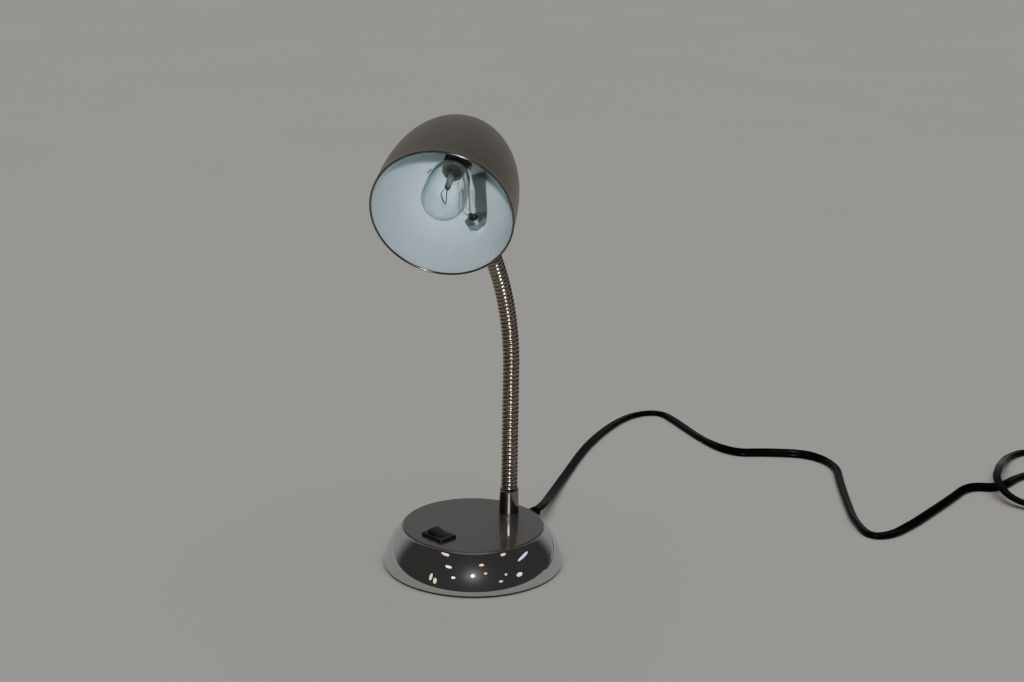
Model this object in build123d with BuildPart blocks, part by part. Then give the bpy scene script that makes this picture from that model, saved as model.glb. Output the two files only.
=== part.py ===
"""Gooseneck desk lamp: weighted round base, flexible neck, tilted bullet shade and mains cord.

Millimetres. +Z is up, -Y is the front with the switch, +Y is the rear with the neck and the cord.
The origin is the middle of the base's underside, on the table.
"""

import os
from math import acos, cos, hypot, pi, radians, sin, sqrt, tan

from build123d import *

os.makedirs("parts", exist_ok=True)


def save(piece, name):
    piece.part.label = name
    export_step(piece.part, f"parts/{name}.step")


# ---- driving dimensions ----

seat_gap = 0.2  # between pieces that drop into each other
thread_gap = 0.1  # round a screw or a nipple in its thread
running_gap = 0.3  # between pieces that move past each other
cut_past = 5.0  # how far a cut runs past what it goes through

base_radius = 65.5
base_height = 29.0  # table to the face of the top plate
skirt_lift = 1.2  # skirt's lower edge above the table
skirt_wall = 1.5
skirt_curve = 41.0  # radius of the skirt's rounded side
plate_radius = 51.3
plate_thickness = 2.0
plate_chamfer = 0.5
plate_proud = 0.8  # top plate's face above the skirt's upper edge
skirt_lip = 0.5  # skirt's upper edge beside the plate
ledge_width = 4.5
ledge_thickness = 1.5

pad_thickness = 2.4
pad_edge = 2.7  # bottom plate showing round the pad
pad_hole_gap = 1.0  # round a screw's head
floor_thickness = 1.2
weight_edge = 4.3  # between the weight's chamfer and the skirt
weight_height = 16.0
weight_chamfer = 4.0
channel_width = 30.0
channel_under = 1.1  # pocket's floor below the switch's receptacles
channel_end = 4.8  # pocket and channel past the switch's body

screw_turn = 29.7  # degrees of each screw from the +X or -X side
boss_edge = 2.5  # between a boss and the skirt's ledge
screw_diameter = 4.0
screw_head_diameter = 7.0
screw_head_height = 1.8
screw_grip = 5.0  # thread length inside a boss
screw_end_gap = 0.5  # past the end of a screw in its hole
screw_slot_width = 0.9
screw_slot_length = 4.2
screw_slot_depth = 1.1
boss_diameter = 8.0

switch_edge = 6.6  # between the switch's body and the skirt's ledge
bezel_length = 21.0
bezel_width = 15.0
bezel_height = 2.0
bezel_corner = 1.0
bezel_chamfer = 0.5
switch_body_length = 18.6
switch_body_width = 12.4
switch_depth = 14.0
switch_wall = 1.5
rocker_radius = 7.4
rocker_width = 8.4
rocker_swing = 24.0  # degrees between on and off
rocker_dish = 24.0  # degrees that the rocker's ends stand above its pivot
rocker_pin_diameter = 2.4
rocker_pin_length = 1.3
rocker_web = 1.2  # material above the pin at the middle of the dish
rocker_pivot_rise = 0.5  # pivot above the top plate's face
tab_width = 4.8
tab_thickness = 0.8
tab_length = 6.5
tab_spacing = 10.0
receptacle_width = 6.6
receptacle_thickness = 3.2
receptacle_height = 6.0

neck_edge = 3.0  # between the neck's washer and the skirt's ledge
nipple_diameter = 9.6
nipple_bore = 6.2
nut_across_flats = 14.0
nut_height = 3.2
washer_diameter = 15.0
upper_across_flats = 13.0
upper_washer_diameter = 13.0
washer_thickness = 0.8
nipple_spare = 2.0  # thread showing past a nut

ferrule_length = 18.5
ferrule_wall = 0.3  # at its mouth
ferrule_flare = 0.7  # that a ferrule's foot stands out past its mouth
ferrule_hold = 12.0  # depth that the hose goes into a ferrule
ferrule_lip = 1.5
ferrule_lip_step = 0.3
upper_ferrule_length = 14.0
upper_ferrule_flare = 0.5
upper_ferrule_hold = 7.2

neck_straight = 111.2  # upright run above the top plate
neck_bend_radius = 184.0
neck_bend = 37.1  # degrees
neck_lean = 5.0  # degrees that the bend turns from the front toward +X
neck_links = 8
hose_radius = 6.3
hose_pitch = 2.6
hose_groove = 0.55  # radius of the round groove
hose_groove_out = 0.25  # groove's centre outside the hose's surface
hose_rim_wall = 0.8
hose_show = 6.0  # hose between a ferrule and the nearest joint
wire_diameter = 2.2
wire_gap = 0.1  # between two wires that lie side by side
wire_past_joint = 5.0  # a wire's end above the joint that it passes

shade_radius_rim = 48.4
shade_length = 95.5
shade_fullness = 2.47
shade_roundness = 1.9
shade_wall = 0.8
shade_bead = 1.0  # radius of the rolled rim
shade_hole_inset = 47.2  # from the dome's end to the neck's hole, along the shade
shade_tilt = 11.0  # degrees that the wall slopes where the neck meets it
shade_turn = 28.7  # degrees that the shade is turned round the neck's end
seat_diameter = 17.0
seat_thickness = 3.0
seat_outside = -0.6  # outer face of the seat pressed into the wall

strap_width = 13.4
strap_thickness = 1.2
strap_foot_inset = 12.5  # from the dome's end to the face that carries the socket
strap_knee_run = 8.5  # strap along the wall, past the neck's hole
strap_wall_gap = 2.6
strap_bend = 2.5
strap_face_in = 0.1  # the screw's hole starts this far before the strap's face

socket_side = -3.0  # socket's axis beside the shade's axis
socket_radius = 8.6
socket_front_gap = 1.5  # from the bulb's mouth to the socket's front face
socket_face_width = 1.08
socket_chamfer = 1.0
shell_wall = 0.4  # thread shell of the socket
contact_radius = 2.6
contact_thickness = 0.4
shell_floor_width = 1.5  # between the contact and the shell's floor
socket_web = 6.8  # solid floor between the contact and the screw's hole
lug_inset = 5.0  # a soldered wire's lug from the socket's rear face
lug_thickness = 0.6
lug_width = 3.4
lug_reach = 13.4  # from the socket's axis to a lug's outer end
lug_root = 6.0
lug_spacing = 6.0
lug_wire_inset = 1.8  # from a lug's outer end to its wire
lug_wire_run = 8.0  # straight wire in front of a lug
socket_screw_diameter = 3.0
socket_screw_grip = 5.0
socket_screw_head = 1.8
socket_screw_round = 0.8
socket_slot_floor = 1.0  # head left under the screwdriver's slot
socket_slot_width = 0.8
sleeve_diameter = 3.6
sleeve_gap = 0.1
sleeve_start_share = 0.5  # of the way from the nipple to the wires' first bend
sleeve_end = 1.5  # bare wire between a sleeve and its lug
lead_spread = 3.2  # each wire beside the middle at that bend
lead_bend = 3.0
lead_drop = 9.0  # from the nipple's end to that bend
lead_forward = 1.0  # and this much nearer the rim
lead_shoulder_in = 3.0  # the wires' second bend, further in
lead_shoulder_depth = 6.0  # and behind the bulb's mouth

bulb_base_radius = 6.1
bulb_base_length = 15.5
bulb_base_wall = 0.4
bulb_base_taper = 2.0  # length of the base's end that narrows to the contact
bulb_tip_height = 1.2
bulb_tip_round = 0.6  # the solder's edge inside the insulator's
insulator_proud = 0.4
bulb_radius = 15.0
bulb_length = 51.0  # glass, from the base's mouth to the tip
bulb_neck_radius = 6.4
bulb_neck_length = 6.0
glass_wall = 0.8
glass_root = 3.0  # glass inside the metal base
glass_gap = 0.1  # cement between the glass and its neighbours
stem_radius = 2.2
stem_length = 21.0  # from the metal base's mouth to the stem's end
stem_point = 1.0
stem_flare = 4.0  # the stem widens from this far before the bulb's mouth
stem_flare_end = 0.5  # to this far past it
filament_reach = 12.0  # in front of the stem
filament_span = 8.0
filament_diameter = 0.7
filament_coil_radius = 0.49
filament_sag = 1.8
lead_seat = 3.0  # lead wire inside the stem
lead_fork = 2.0  # lead wires run straight this far out of the stem
lead_hook = 1.0  # straight end of a lead wire, each side of the filament
filament_bite = 0.4  # filament behind the lead wires' ends

cord_diameter = 7.0  # width of the flat two-core cord
cord_exit_turn = 12.0  # degrees from the rear toward -X
relief_floor_gap = 0.6  # between the strain relief's flange and the bottom plate
lead_rise = 0.4  # the wires in the base above the middle of the cord's exit
relief_flange_gap = 0.6  # between the flange's upper edge and the skirt's inner face
relief_reach = 22.0  # outside the skirt
relief_tip_wall = 0.8  # round the cord at the relief's end
relief_taper = 0.9  # that the relief widens by toward the skirt
relief_flange_width = 1.2
relief_flange = 1.5
relief_straight = 2.0  # outside the skirt, before the taper
cord_past_relief = 8.0
splice_radius = 3.2
splice_length = 14.0
splice_round = 1.92
splice_x = -4.0
splice_rear = 26.0
splice_run = 9.0  # cord's wire straight in front of the splice
neutral_run = 4.0  # neck's wire straight in front of the splice
channel_side = 11.0  # live wire beside the middle of the channel
channel_rear = 24.0
channel_rest = 10.0
channel_middle = -6.0
wire_rest = 1.0  # live wire below the splice in the channel
live_run = 8.0
live_tab_run = 9.0
neutral_exit_run = 6.0
switch_wire_drop = 12.0  # in front of the neck
long_bend = 5.0
neck_wire_bend = 4.0
neutral_bend = 2.0

coil_centre = (268.0, 442.0)
coil_middle_radius = 40.0
coil_turns = 2.25
coil_layers = 2
tie_thickness = 1.0
tie_width = 6.0
tie_angle = -40.0  # place on the coil, from +X toward +Y
plug_length = 26.0
plug_width = 24.0
plug_thickness = 14.0
plug_taper = 14.0
plug_corner = 3.0
plug_neck_wall = 1.2
plug_shoulder_width = 19.2
blade_length = 17.5
blade_width = 6.4
blade_thickness = 1.5
blade_spacing = 12.7
blade_root = 5.0  # blade inside the plug's body
blade_chamfer = 0.4
tail_length = 34.0  # cord from the coil's side to the plug

# ---- base ----

plate_under = base_height - plate_thickness
skirt_top = base_height - plate_proud
recess_radius = plate_radius + seat_gap
ledge_radius = plate_radius - ledge_width
floor_bottom = pad_thickness
floor_top = floor_bottom + floor_thickness
weight_top = floor_top + weight_height
screw_circle = ledge_radius - boss_diameter / 2 - boss_edge
screw_spacing_x = 2 * screw_circle * cos(radians(screw_turn))
screw_spacing_y = 2 * screw_circle * sin(radians(screw_turn))
switch_y = switch_edge + switch_body_width / 2 - ledge_radius
neck_y = ledge_radius - washer_diameter / 2 - neck_edge
switch_bottom = base_height - switch_depth
receptacle_top = switch_bottom - running_gap
receptacle_middle = receptacle_top - receptacle_height / 2
relief_tip_radius = cord_diameter / 2 + relief_tip_wall
relief_root_radius = relief_tip_radius + relief_taper
relief_flange_radius = relief_root_radius + relief_flange_width
cord_exit_height = floor_top + relief_floor_gap + relief_flange_radius
lead_height = cord_exit_height + lead_rise
channel_bottom = lead_height - splice_radius - seat_gap
channel_front = switch_y - switch_body_width / 2 - channel_end
pocket_bottom = receptacle_top - receptacle_height - channel_under


def arc_centre(start, end, radius):
    """Centre of the arc of this radius that bulges away from the axis."""
    dx, dy = end[0] - start[0], end[1] - start[1]
    half = hypot(dx, dy) / 2
    reach = sqrt(radius**2 - half**2)
    return (
        (start[0] + end[0]) / 2 + dy / (2 * half) * -reach,
        (start[1] + end[1]) / 2 + dx / (2 * half) * reach,
    )


def arc_point(centre, radius, height):
    """Point on the arc at this height, on the side away from the axis."""
    return (centre[0] + sqrt(radius**2 - (height - centre[1]) ** 2), height)


skirt_centre = arc_centre(
    (base_radius, skirt_lift), (recess_radius + skirt_lip, skirt_top), skirt_curve
)
if skirt_centre[0] > base_radius:
    raise ValueError("the skirt's side bulges inward")
ledge_top = plate_under
ledge_under = ledge_top - ledge_thickness
skirt_inner = skirt_curve - skirt_wall


def skirt_out(height):
    return arc_point(skirt_centre, skirt_curve, height)


def skirt_in(height):
    return arc_point(skirt_centre, skirt_inner, height)


floor_radius = skirt_in(floor_bottom)[0] - seat_gap
pad_radius = floor_radius - pad_edge
flange_top = cord_exit_height + relief_flange_radius
cord_inner_radius = skirt_in(flange_top)[0] - relief_flange - relief_flange_gap

with BuildPart() as base_skirt:
    with BuildSketch(Plane.XZ):
        with BuildLine():
            ThreePointArc(
                skirt_out(skirt_lift),
                skirt_out(skirt_top / 2),
                skirt_out(skirt_top),
            )
            Polyline(
                skirt_out(skirt_top),
                (recess_radius, skirt_top),
                (recess_radius, ledge_top),
                (ledge_radius, ledge_top),
                (ledge_radius, ledge_under),
                skirt_in(ledge_under),
            )
            ThreePointArc(
                skirt_in(ledge_under),
                skirt_in(skirt_top / 2),
                skirt_in(skirt_lift),
            )
            Line(skirt_in(skirt_lift), skirt_out(skirt_lift))
        make_face()
    revolve(axis=Axis.Z)
    exit_direction = Vector(-sin(radians(cord_exit_turn)), cos(radians(cord_exit_turn)), 0)
    exit_plane = Plane(
        origin=exit_direction * cord_inner_radius + Vector(0, 0, cord_exit_height),
        x_dir=Vector(0, 0, 1).cross(exit_direction),
        z_dir=exit_direction,
    )
    with BuildSketch(exit_plane):
        Circle(relief_root_radius + seat_gap)
    extrude(amount=base_radius - cord_inner_radius + cut_past, mode=Mode.SUBTRACT)
save(base_skirt, "base_skirt")

with BuildPart() as top_plate:
    with BuildSketch(Plane.XY.offset(plate_under)):
        Circle(plate_radius)
    extrude(amount=plate_thickness)
    chamfer(top_plate.edges().group_by(Axis.Z)[-1], plate_chamfer)
    with BuildSketch(Plane.XY.offset(weight_top)):
        with GridLocations(screw_spacing_x, screw_spacing_y, 2, 2):
            Circle(boss_diameter / 2)
    extrude(until=Until.NEXT)
    with BuildSketch(Plane.XY.offset(plate_under)):
        with Locations((0, switch_y)):
            Rectangle(switch_body_length + 2 * seat_gap, switch_body_width + 2 * seat_gap)
        with Locations((0, neck_y)):
            Circle(nipple_diameter / 2 + seat_gap)
    extrude(amount=plate_thickness, mode=Mode.SUBTRACT)
    with BuildSketch(Plane.XY.offset(weight_top)):
        with GridLocations(screw_spacing_x, screw_spacing_y, 2, 2):
            Circle(screw_diameter / 2 + thread_gap)
    extrude(amount=screw_grip + screw_end_gap, mode=Mode.SUBTRACT)
save(top_plate, "top_plate")

weight_radius = skirt_in(weight_top - weight_chamfer)[0] - weight_edge
with BuildPart() as base_weight:
    with BuildSketch(Plane.XY.offset(floor_top)):
        Circle(weight_radius)
    extrude(amount=weight_height)
    chamfer(base_weight.edges().group_by(Axis.Z)[-1], weight_chamfer)
    with BuildSketch(Plane.XY.offset(channel_bottom)):
        with Locations((0, (channel_front + base_radius) / 2)):
            Rectangle(channel_width, base_radius - channel_front)
    extrude(amount=weight_height, mode=Mode.SUBTRACT)
    with BuildSketch(Plane.XY.offset(pocket_bottom)):
        with Locations((0, switch_y)):
            Rectangle(switch_body_length + 2 * channel_end, switch_body_width + 2 * channel_end)
    extrude(amount=weight_height, mode=Mode.SUBTRACT)
    with BuildSketch(Plane.XY.offset(floor_top)):
        with GridLocations(screw_spacing_x, screw_spacing_y, 2, 2):
            Circle(screw_diameter / 2 + seat_gap)
    extrude(amount=weight_height, mode=Mode.SUBTRACT)
save(base_weight, "base_weight")

with BuildPart() as bottom_plate:
    with BuildSketch(Plane.XY.offset(floor_bottom)):
        Circle(floor_radius)
        with GridLocations(screw_spacing_x, screw_spacing_y, 2, 2):
            Circle(screw_diameter / 2 + seat_gap, mode=Mode.SUBTRACT)
    extrude(amount=floor_thickness)
save(bottom_plate, "bottom_plate")

with BuildPart() as base_pad:
    with BuildSketch():
        Circle(pad_radius)
        with GridLocations(screw_spacing_x, screw_spacing_y, 2, 2):
            Circle(screw_head_diameter / 2 + pad_hole_gap, mode=Mode.SUBTRACT)
    extrude(amount=pad_thickness)
save(base_pad, "base_pad")

screw_reach = weight_top + screw_grip - floor_bottom
with BuildPart() as base_screws:
    with BuildSketch(Plane.XY.offset(floor_bottom - screw_head_height)):
        with GridLocations(screw_spacing_x, screw_spacing_y, 2, 2):
            Circle(screw_head_diameter / 2)
    extrude(amount=screw_head_height)
    fillet(base_screws.edges().group_by(Axis.Z)[0], screw_head_height / 3)
    with BuildSketch(Plane.XY.offset(floor_bottom)):
        with GridLocations(screw_spacing_x, screw_spacing_y, 2, 2):
            Circle(screw_diameter / 2)
    extrude(amount=screw_reach)
    with BuildSketch(Plane.XY.offset(floor_bottom - screw_head_height)):
        with GridLocations(screw_spacing_x, screw_spacing_y, 2, 2):
            Rectangle(screw_slot_length, screw_slot_width)
            Rectangle(screw_slot_width, screw_slot_length)
    extrude(amount=screw_slot_depth, mode=Mode.SUBTRACT)
save(base_screws, "base_screws")

# ---- switch ----

rocker_slot_length = 2 * (rocker_radius + running_gap)
rocker_slot_width = rocker_width + 2 * running_gap
rocker_pivot = Vector(0, switch_y, base_height + rocker_pivot_rise)
rocker_slot_bottom = rocker_pivot.Z - rocker_radius - running_gap

with BuildPart() as switch_housing:
    with BuildSketch(Plane.XY.offset(base_height)):
        with Locations((0, switch_y)):
            RectangleRounded(bezel_length, bezel_width, bezel_corner)
    extrude(amount=bezel_height)
    chamfer(switch_housing.edges().group_by(Axis.Z)[-1], bezel_chamfer)
    with BuildSketch(Plane.XY.offset(switch_bottom)):
        with Locations((0, switch_y)):
            Rectangle(switch_body_length, switch_body_width)
    extrude(amount=switch_depth)
    with BuildSketch(Plane.XY.offset(rocker_slot_bottom)):
        with Locations((0, switch_y)):
            Rectangle(rocker_slot_length, rocker_slot_width)
    extrude(amount=base_height + bezel_height - rocker_slot_bottom, mode=Mode.SUBTRACT)
    with BuildSketch(Plane.XZ.offset(-switch_y)):
        with Locations((0, rocker_pivot.Z)):
            Circle(rocker_pin_diameter / 2 + running_gap / 2)
    pin_hole_reach = rocker_width / 2 + rocker_pin_length + running_gap
    extrude(amount=pin_hole_reach, both=True, mode=Mode.SUBTRACT)
    with BuildSketch(Plane.XY.offset(switch_bottom)):
        with Locations((-tab_spacing / 2, switch_y), (tab_spacing / 2, switch_y)):
            Rectangle(tab_thickness, tab_width)
    extrude(amount=switch_wall, mode=Mode.SUBTRACT)
save(switch_housing, "switch_housing")

rest_lean = rocker_swing / 2
rocker_section = Plane(
    origin=rocker_pivot,
    x_dir=(cos(radians(rest_lean)), 0, -sin(radians(rest_lean))),
    z_dir=(0, -1, 0),
)
with BuildPart() as switch_rocker:
    with BuildSketch(rocker_section):
        Circle(rocker_radius)
        end_x = rocker_radius * cos(radians(rocker_dish))
        end_y = rocker_radius * sin(radians(rocker_dish))
        dish_y = rocker_web + rocker_pin_diameter / 2
        with BuildLine():
            Polyline(
                (-end_x, end_y),
                (0, dish_y),
                (end_x, end_y),
                (end_x, 2 * rocker_radius),
                (-end_x, 2 * rocker_radius),
                close=True,
            )
        make_face(mode=Mode.SUBTRACT)
        with Locations((0, -rocker_radius)):
            Rectangle(2 * rocker_radius, rocker_radius, mode=Mode.SUBTRACT)
    extrude(amount=rocker_width / 2, both=True)
    with BuildSketch(rocker_section):
        Circle(rocker_pin_diameter / 2)
    extrude(amount=rocker_width / 2 + rocker_pin_length, both=True)
save(switch_rocker, "switch_rocker")

with BuildPart() as switch_terminals:
    with BuildSketch(Plane.XY.offset(switch_bottom - tab_length)):
        with Locations((-tab_spacing / 2, switch_y), (tab_spacing / 2, switch_y)):
            Rectangle(tab_thickness, tab_width)
    extrude(amount=tab_length + switch_wall)
save(switch_terminals, "switch_terminals")

with BuildPart() as tab_receptacles:
    with BuildSketch(Plane.XY.offset(receptacle_top - receptacle_height)):
        with Locations((-tab_spacing / 2, switch_y), (tab_spacing / 2, switch_y)):
            Rectangle(receptacle_thickness, receptacle_width)
            Rectangle(tab_thickness, tab_width, mode=Mode.SUBTRACT)
    extrude(amount=receptacle_height)
save(tab_receptacles, "tab_receptacles")

# ---- neck's line ----

lean = radians(neck_lean)
sideways = Vector(cos(lean), sin(lean), 0)
forward = Vector(sin(lean), -cos(lean), 0)
up = Vector(0, 0, 1)
neck_foot = Vector(0, neck_y, base_height)
neck_length = neck_straight + neck_bend_radius * radians(neck_bend)


def neck_place(along):
    """Point and direction of the neck's middle line, this far above the top plate."""
    bend = max(0.0, along - neck_straight) / neck_bend_radius
    rise = min(along, neck_straight) + neck_bend_radius * sin(bend)
    reach = neck_bend_radius * (1 - cos(bend))
    point = neck_foot + up * rise + forward * reach
    return point, up * cos(bend) + forward * sin(bend)


# the hose is straight from its last joint to the shade, in line with the upper ferrule
wall_point, neck_end = neck_place(neck_length)
lower_mouth_radius = hose_radius + thread_gap + ferrule_wall
upper_mouth_radius = hose_radius + running_gap + ferrule_wall
first_joint = ferrule_length + hose_show
upper_straight = upper_ferrule_length + hose_show
link_length = (neck_length - upper_straight - first_joint) / neck_links
joints = [neck_place(first_joint + link_length * i)[0] for i in range(neck_links)]
joints.append(wall_point - neck_end * upper_straight)
hose_starts = [neck_place(ferrule_length - ferrule_hold)[0]] + joints
hose_ends = joints + [wall_point - neck_end * (upper_ferrule_length - upper_ferrule_hold)]

ball_radius = hose_radius
socket_sphere = ball_radius + running_gap
rim_inner = hose_radius - hose_rim_wall
rim_height = sqrt(socket_sphere**2 - rim_inner**2)
hose_bore = wire_diameter + wire_gap / 2 + seat_gap


def hose_piece(start, end, has_socket, has_ball):
    """Ridged hose between two joints: a socket at its start, a ball round the joint at its end."""
    direction = (end - start).normalized()
    length = (end - start).length
    low = rim_height if has_socket else 0.0
    section = Plane(origin=start, x_dir=sideways, z_dir=sideways.cross(direction))
    with BuildPart() as piece:
        with BuildSketch(section):
            with BuildLine():
                Line((hose_radius, low), (hose_radius, length))
                if has_ball:
                    top = sqrt(ball_radius**2 - hose_bore**2)
                    middle = ball_radius * sin(pi / 4)
                    ThreePointArc(
                        (hose_radius, length),
                        (middle, length + middle),
                        (hose_bore, length + top),
                    )
                else:
                    top = 0.0
                    Line((hose_radius, length), (hose_bore, length))
                if has_socket:
                    bottom = sqrt(socket_sphere**2 - hose_bore**2)
                    Line((hose_bore, length + top), (hose_bore, bottom))
                    half = (acos(rim_height / socket_sphere) + acos(bottom / socket_sphere)) / 2
                    ThreePointArc(
                        (hose_bore, bottom),
                        (socket_sphere * sin(half), socket_sphere * cos(half)),
                        (rim_inner, low),
                    )
                    Line((rim_inner, low), (hose_radius, low))
                else:
                    Line((hose_bore, length + top), (hose_bore, low))
                    Line((hose_bore, low), (hose_radius, low))
            make_face()
            groove = low + hose_pitch * 0.75
            while groove < length - hose_pitch * 0.4:
                with Locations((hose_radius + hose_groove_out, groove)):
                    Circle(hose_groove, mode=Mode.SUBTRACT)
                groove += hose_pitch
        revolve(axis=Axis(start, direction))
    return piece


wire_low = socket_sphere + running_gap
wire_offset = (wire_diameter + wire_gap) / 2


def wire_pair(start, direction, low, high):
    """Two straight wires side by side along a line, between two distances from its start."""
    across = Plane(origin=start, x_dir=sideways, z_dir=direction)
    with BuildPart() as pair:
        with BuildSketch(across.offset(low)):
            with Locations((-wire_offset, 0), (wire_offset, 0)):
                Circle(wire_diameter / 2)
        extrude(amount=high - low)
    return pair


for number in range(1, neck_links + 1):
    start, end = hose_starts[number], hose_ends[number]
    neck_link = hose_piece(start, end, has_socket=True, has_ball=True)
    save(neck_link, f"neck_link_{number}")
    span = end - start
    neck_wires = wire_pair(start, span.normalized(), wire_low, span.length + wire_past_joint)
    save(neck_wires, f"neck_wires_{number}")

hose_foot = hose_piece(hose_starts[0], hose_ends[0], has_socket=False, has_ball=True)
save(hose_foot, "hose_foot")
hose_head = hose_piece(hose_starts[-1], hose_ends[-1], has_socket=True, has_ball=False)
save(hose_head, "hose_head")

# ---- neck's lower end ----

hose_foot_bottom = hose_starts[0].Z
nipple_top = hose_foot_bottom
washer_top = plate_under
nut_top = washer_top - washer_thickness
nipple_bottom = nut_top - nut_height - nipple_spare

with BuildPart() as lower_ferrule:
    with BuildSketch(Plane.XZ.offset(-neck_y)):
        with BuildLine():
            Polyline(
                (nipple_diameter / 2 + thread_gap, base_height),
                (lower_mouth_radius + ferrule_flare, base_height),
                (
                    lower_mouth_radius + ferrule_lip_step,
                    base_height + ferrule_length - ferrule_lip,
                ),
                (lower_mouth_radius, base_height + ferrule_length),
                (hose_radius + thread_gap, base_height + ferrule_length),
                (hose_radius + thread_gap, hose_foot_bottom),
                (nipple_diameter / 2 + thread_gap, hose_foot_bottom),
                close=True,
            )
        make_face()
    revolve(axis=Axis(neck_foot, up))
save(lower_ferrule, "lower_ferrule")

with BuildPart() as lower_nipple:
    with BuildSketch(Plane.XY.offset(nipple_bottom)):
        with Locations((0, neck_y)):
            Circle(nipple_diameter / 2)
            Circle(nipple_bore / 2, mode=Mode.SUBTRACT)
    extrude(amount=nipple_top - nipple_bottom)
save(lower_nipple, "lower_nipple")

with BuildPart() as lower_washer:
    with BuildSketch(Plane.XY.offset(nut_top)):
        with Locations((0, neck_y)):
            Circle(washer_diameter / 2)
            Circle(nipple_diameter / 2 + thread_gap, mode=Mode.SUBTRACT)
    extrude(amount=washer_thickness)
save(lower_washer, "lower_washer")

with BuildPart() as lower_nut:
    with BuildSketch(Plane.XY.offset(nut_top - nut_height)):
        with Locations((0, neck_y)):
            RegularPolygon(nut_across_flats / 2, 6, major_radius=False)
            Circle(nipple_diameter / 2 + thread_gap, mode=Mode.SUBTRACT)
    extrude(amount=nut_height)
save(lower_nut, "lower_nut")

# ---- shade's frame ----

end_forward = (neck_end.cross(sideways) * -1).normalized()
turned = end_forward * cos(radians(shade_turn)) + sideways * sin(radians(shade_turn))
tilt = radians(shade_tilt)
opening = turned * cos(tilt) + neck_end * sin(tilt)
inward = neck_end * cos(tilt) - turned * sin(tilt)
dome = opening * -1


def shade_radius(depth, inset=0.0):
    """Radius of the shade this deep behind its rim."""
    share = (depth / (shade_length - inset)) ** shade_fullness
    return (shade_radius_rim - inset) * (1 - min(share, 1.0)) ** (1 / shade_roundness)


shade_hole_depth = shade_length - shade_hole_inset
rim_centre = wall_point + inward * shade_radius(shade_hole_depth) + opening * shade_hole_depth
shade_axis = Axis(rim_centre, dome)
# local x runs from the shade's axis to the neck's side, local y from the rim to the dome
meridian = Plane(origin=rim_centre, x_dir=inward * -1, z_dir=(inward * -1).cross(dome))
wall_plane = Plane(origin=wall_point, x_dir=turned * -1, z_dir=neck_end)
outline_steps = (0.0, 0.2, 0.4, 0.58, 0.74, 0.86, 0.94, 0.985)


def shade_line(inset):
    points = []
    for step in outline_steps:
        depth = step * (shade_length - inset)
        points.append((shade_radius(depth, inset), depth))
    return points + [(0, shade_length - inset)]


with BuildPart() as shade:
    with BuildSketch(meridian):
        with BuildLine():
            outer = shade_line(0.0)
            inner = shade_line(shade_wall)
            Spline(*outer, tangents=[(0, 1), (-1, 0)])
            Line(outer[-1], inner[-1])
            Spline(*inner, tangents=[(0, 1), (-1, 0)])
            Line(inner[0], outer[0])
        make_face()
    revolve(axis=shade_axis)
    with BuildSketch(meridian):
        with Locations((shade_radius_rim - shade_wall / 2, 0)):
            Circle(shade_bead)
    revolve(axis=shade_axis)
    with BuildSketch(wall_plane.offset(seat_outside)):
        Circle(seat_diameter / 2)
    extrude(amount=seat_thickness)
    with BuildSketch(wall_plane.offset(2 * seat_outside)):
        Circle(nipple_diameter / 2 + seat_gap)
    extrude(amount=seat_thickness - 2 * seat_outside, mode=Mode.SUBTRACT)
save(shade, "shade")

# ---- neck's upper end ----

seat_inside = seat_outside + seat_thickness
strap_face = seat_inside + strap_thickness
upper_washer_face = strap_face + washer_thickness
upper_nut_face = upper_washer_face + nut_height
upper_nipple_end = upper_nut_face + nipple_spare
hose_head_drop = upper_ferrule_hold - upper_ferrule_length

with BuildPart() as upper_ferrule:
    with BuildSketch(Plane(origin=wall_point, x_dir=sideways, z_dir=sideways.cross(neck_end))):
        with BuildLine():
            Polyline(
                (nipple_diameter / 2 + thread_gap, seat_outside),
                (upper_mouth_radius + upper_ferrule_flare, seat_outside),
                (upper_mouth_radius, -upper_ferrule_length),
                (hose_radius + running_gap, -upper_ferrule_length),
                (hose_radius + running_gap, hose_head_drop + seat_gap),
                (nipple_diameter / 2 + thread_gap, hose_head_drop + seat_gap),
                close=True,
            )
        make_face()
    revolve(axis=Axis(wall_point, neck_end))
save(upper_ferrule, "upper_ferrule")

nipple_root = hose_head_drop + seat_gap
with BuildPart() as upper_nipple:
    with BuildSketch(wall_plane.offset(nipple_root)):
        Circle(nipple_diameter / 2)
        Circle(nipple_bore / 2, mode=Mode.SUBTRACT)
    extrude(amount=upper_nipple_end - nipple_root)
save(upper_nipple, "upper_nipple")

with BuildPart() as upper_washer:
    with BuildSketch(wall_plane.offset(strap_face)):
        Circle(upper_washer_diameter / 2)
        Circle(nipple_diameter / 2 + thread_gap, mode=Mode.SUBTRACT)
    extrude(amount=washer_thickness)
save(upper_washer, "upper_washer")

with BuildPart() as upper_nut:
    with BuildSketch(wall_plane.offset(upper_washer_face)):
        RegularPolygon(upper_across_flats / 2, 6, major_radius=False, rotation=30)
        Circle(nipple_diameter / 2 + thread_gap, mode=Mode.SUBTRACT)
    extrude(amount=nut_height)
save(upper_nut, "upper_nut")

# ---- socket and its bracket ----


def head_point(radius, depth, side=0.0):
    """Point in the shade: off its axis toward the neck, behind the rim, and sideways."""
    return rim_centre - inward * radius + dome * depth + meridian.z_dir * side


strap_foot_depth = shade_length - strap_foot_inset
strap_knee_depth = shade_hole_depth + strap_knee_run
socket_floor = strap_foot_depth - socket_screw_grip - socket_web
contact_face = socket_floor - contact_thickness
tip_end = contact_face - thread_gap
base_end = tip_end - bulb_tip_height
bulb_mouth_depth = base_end - bulb_base_length
stem_depth = bulb_mouth_depth - stem_length
filament_depth = stem_depth - filament_reach
lug_depth = strap_foot_depth - lug_inset

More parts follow.
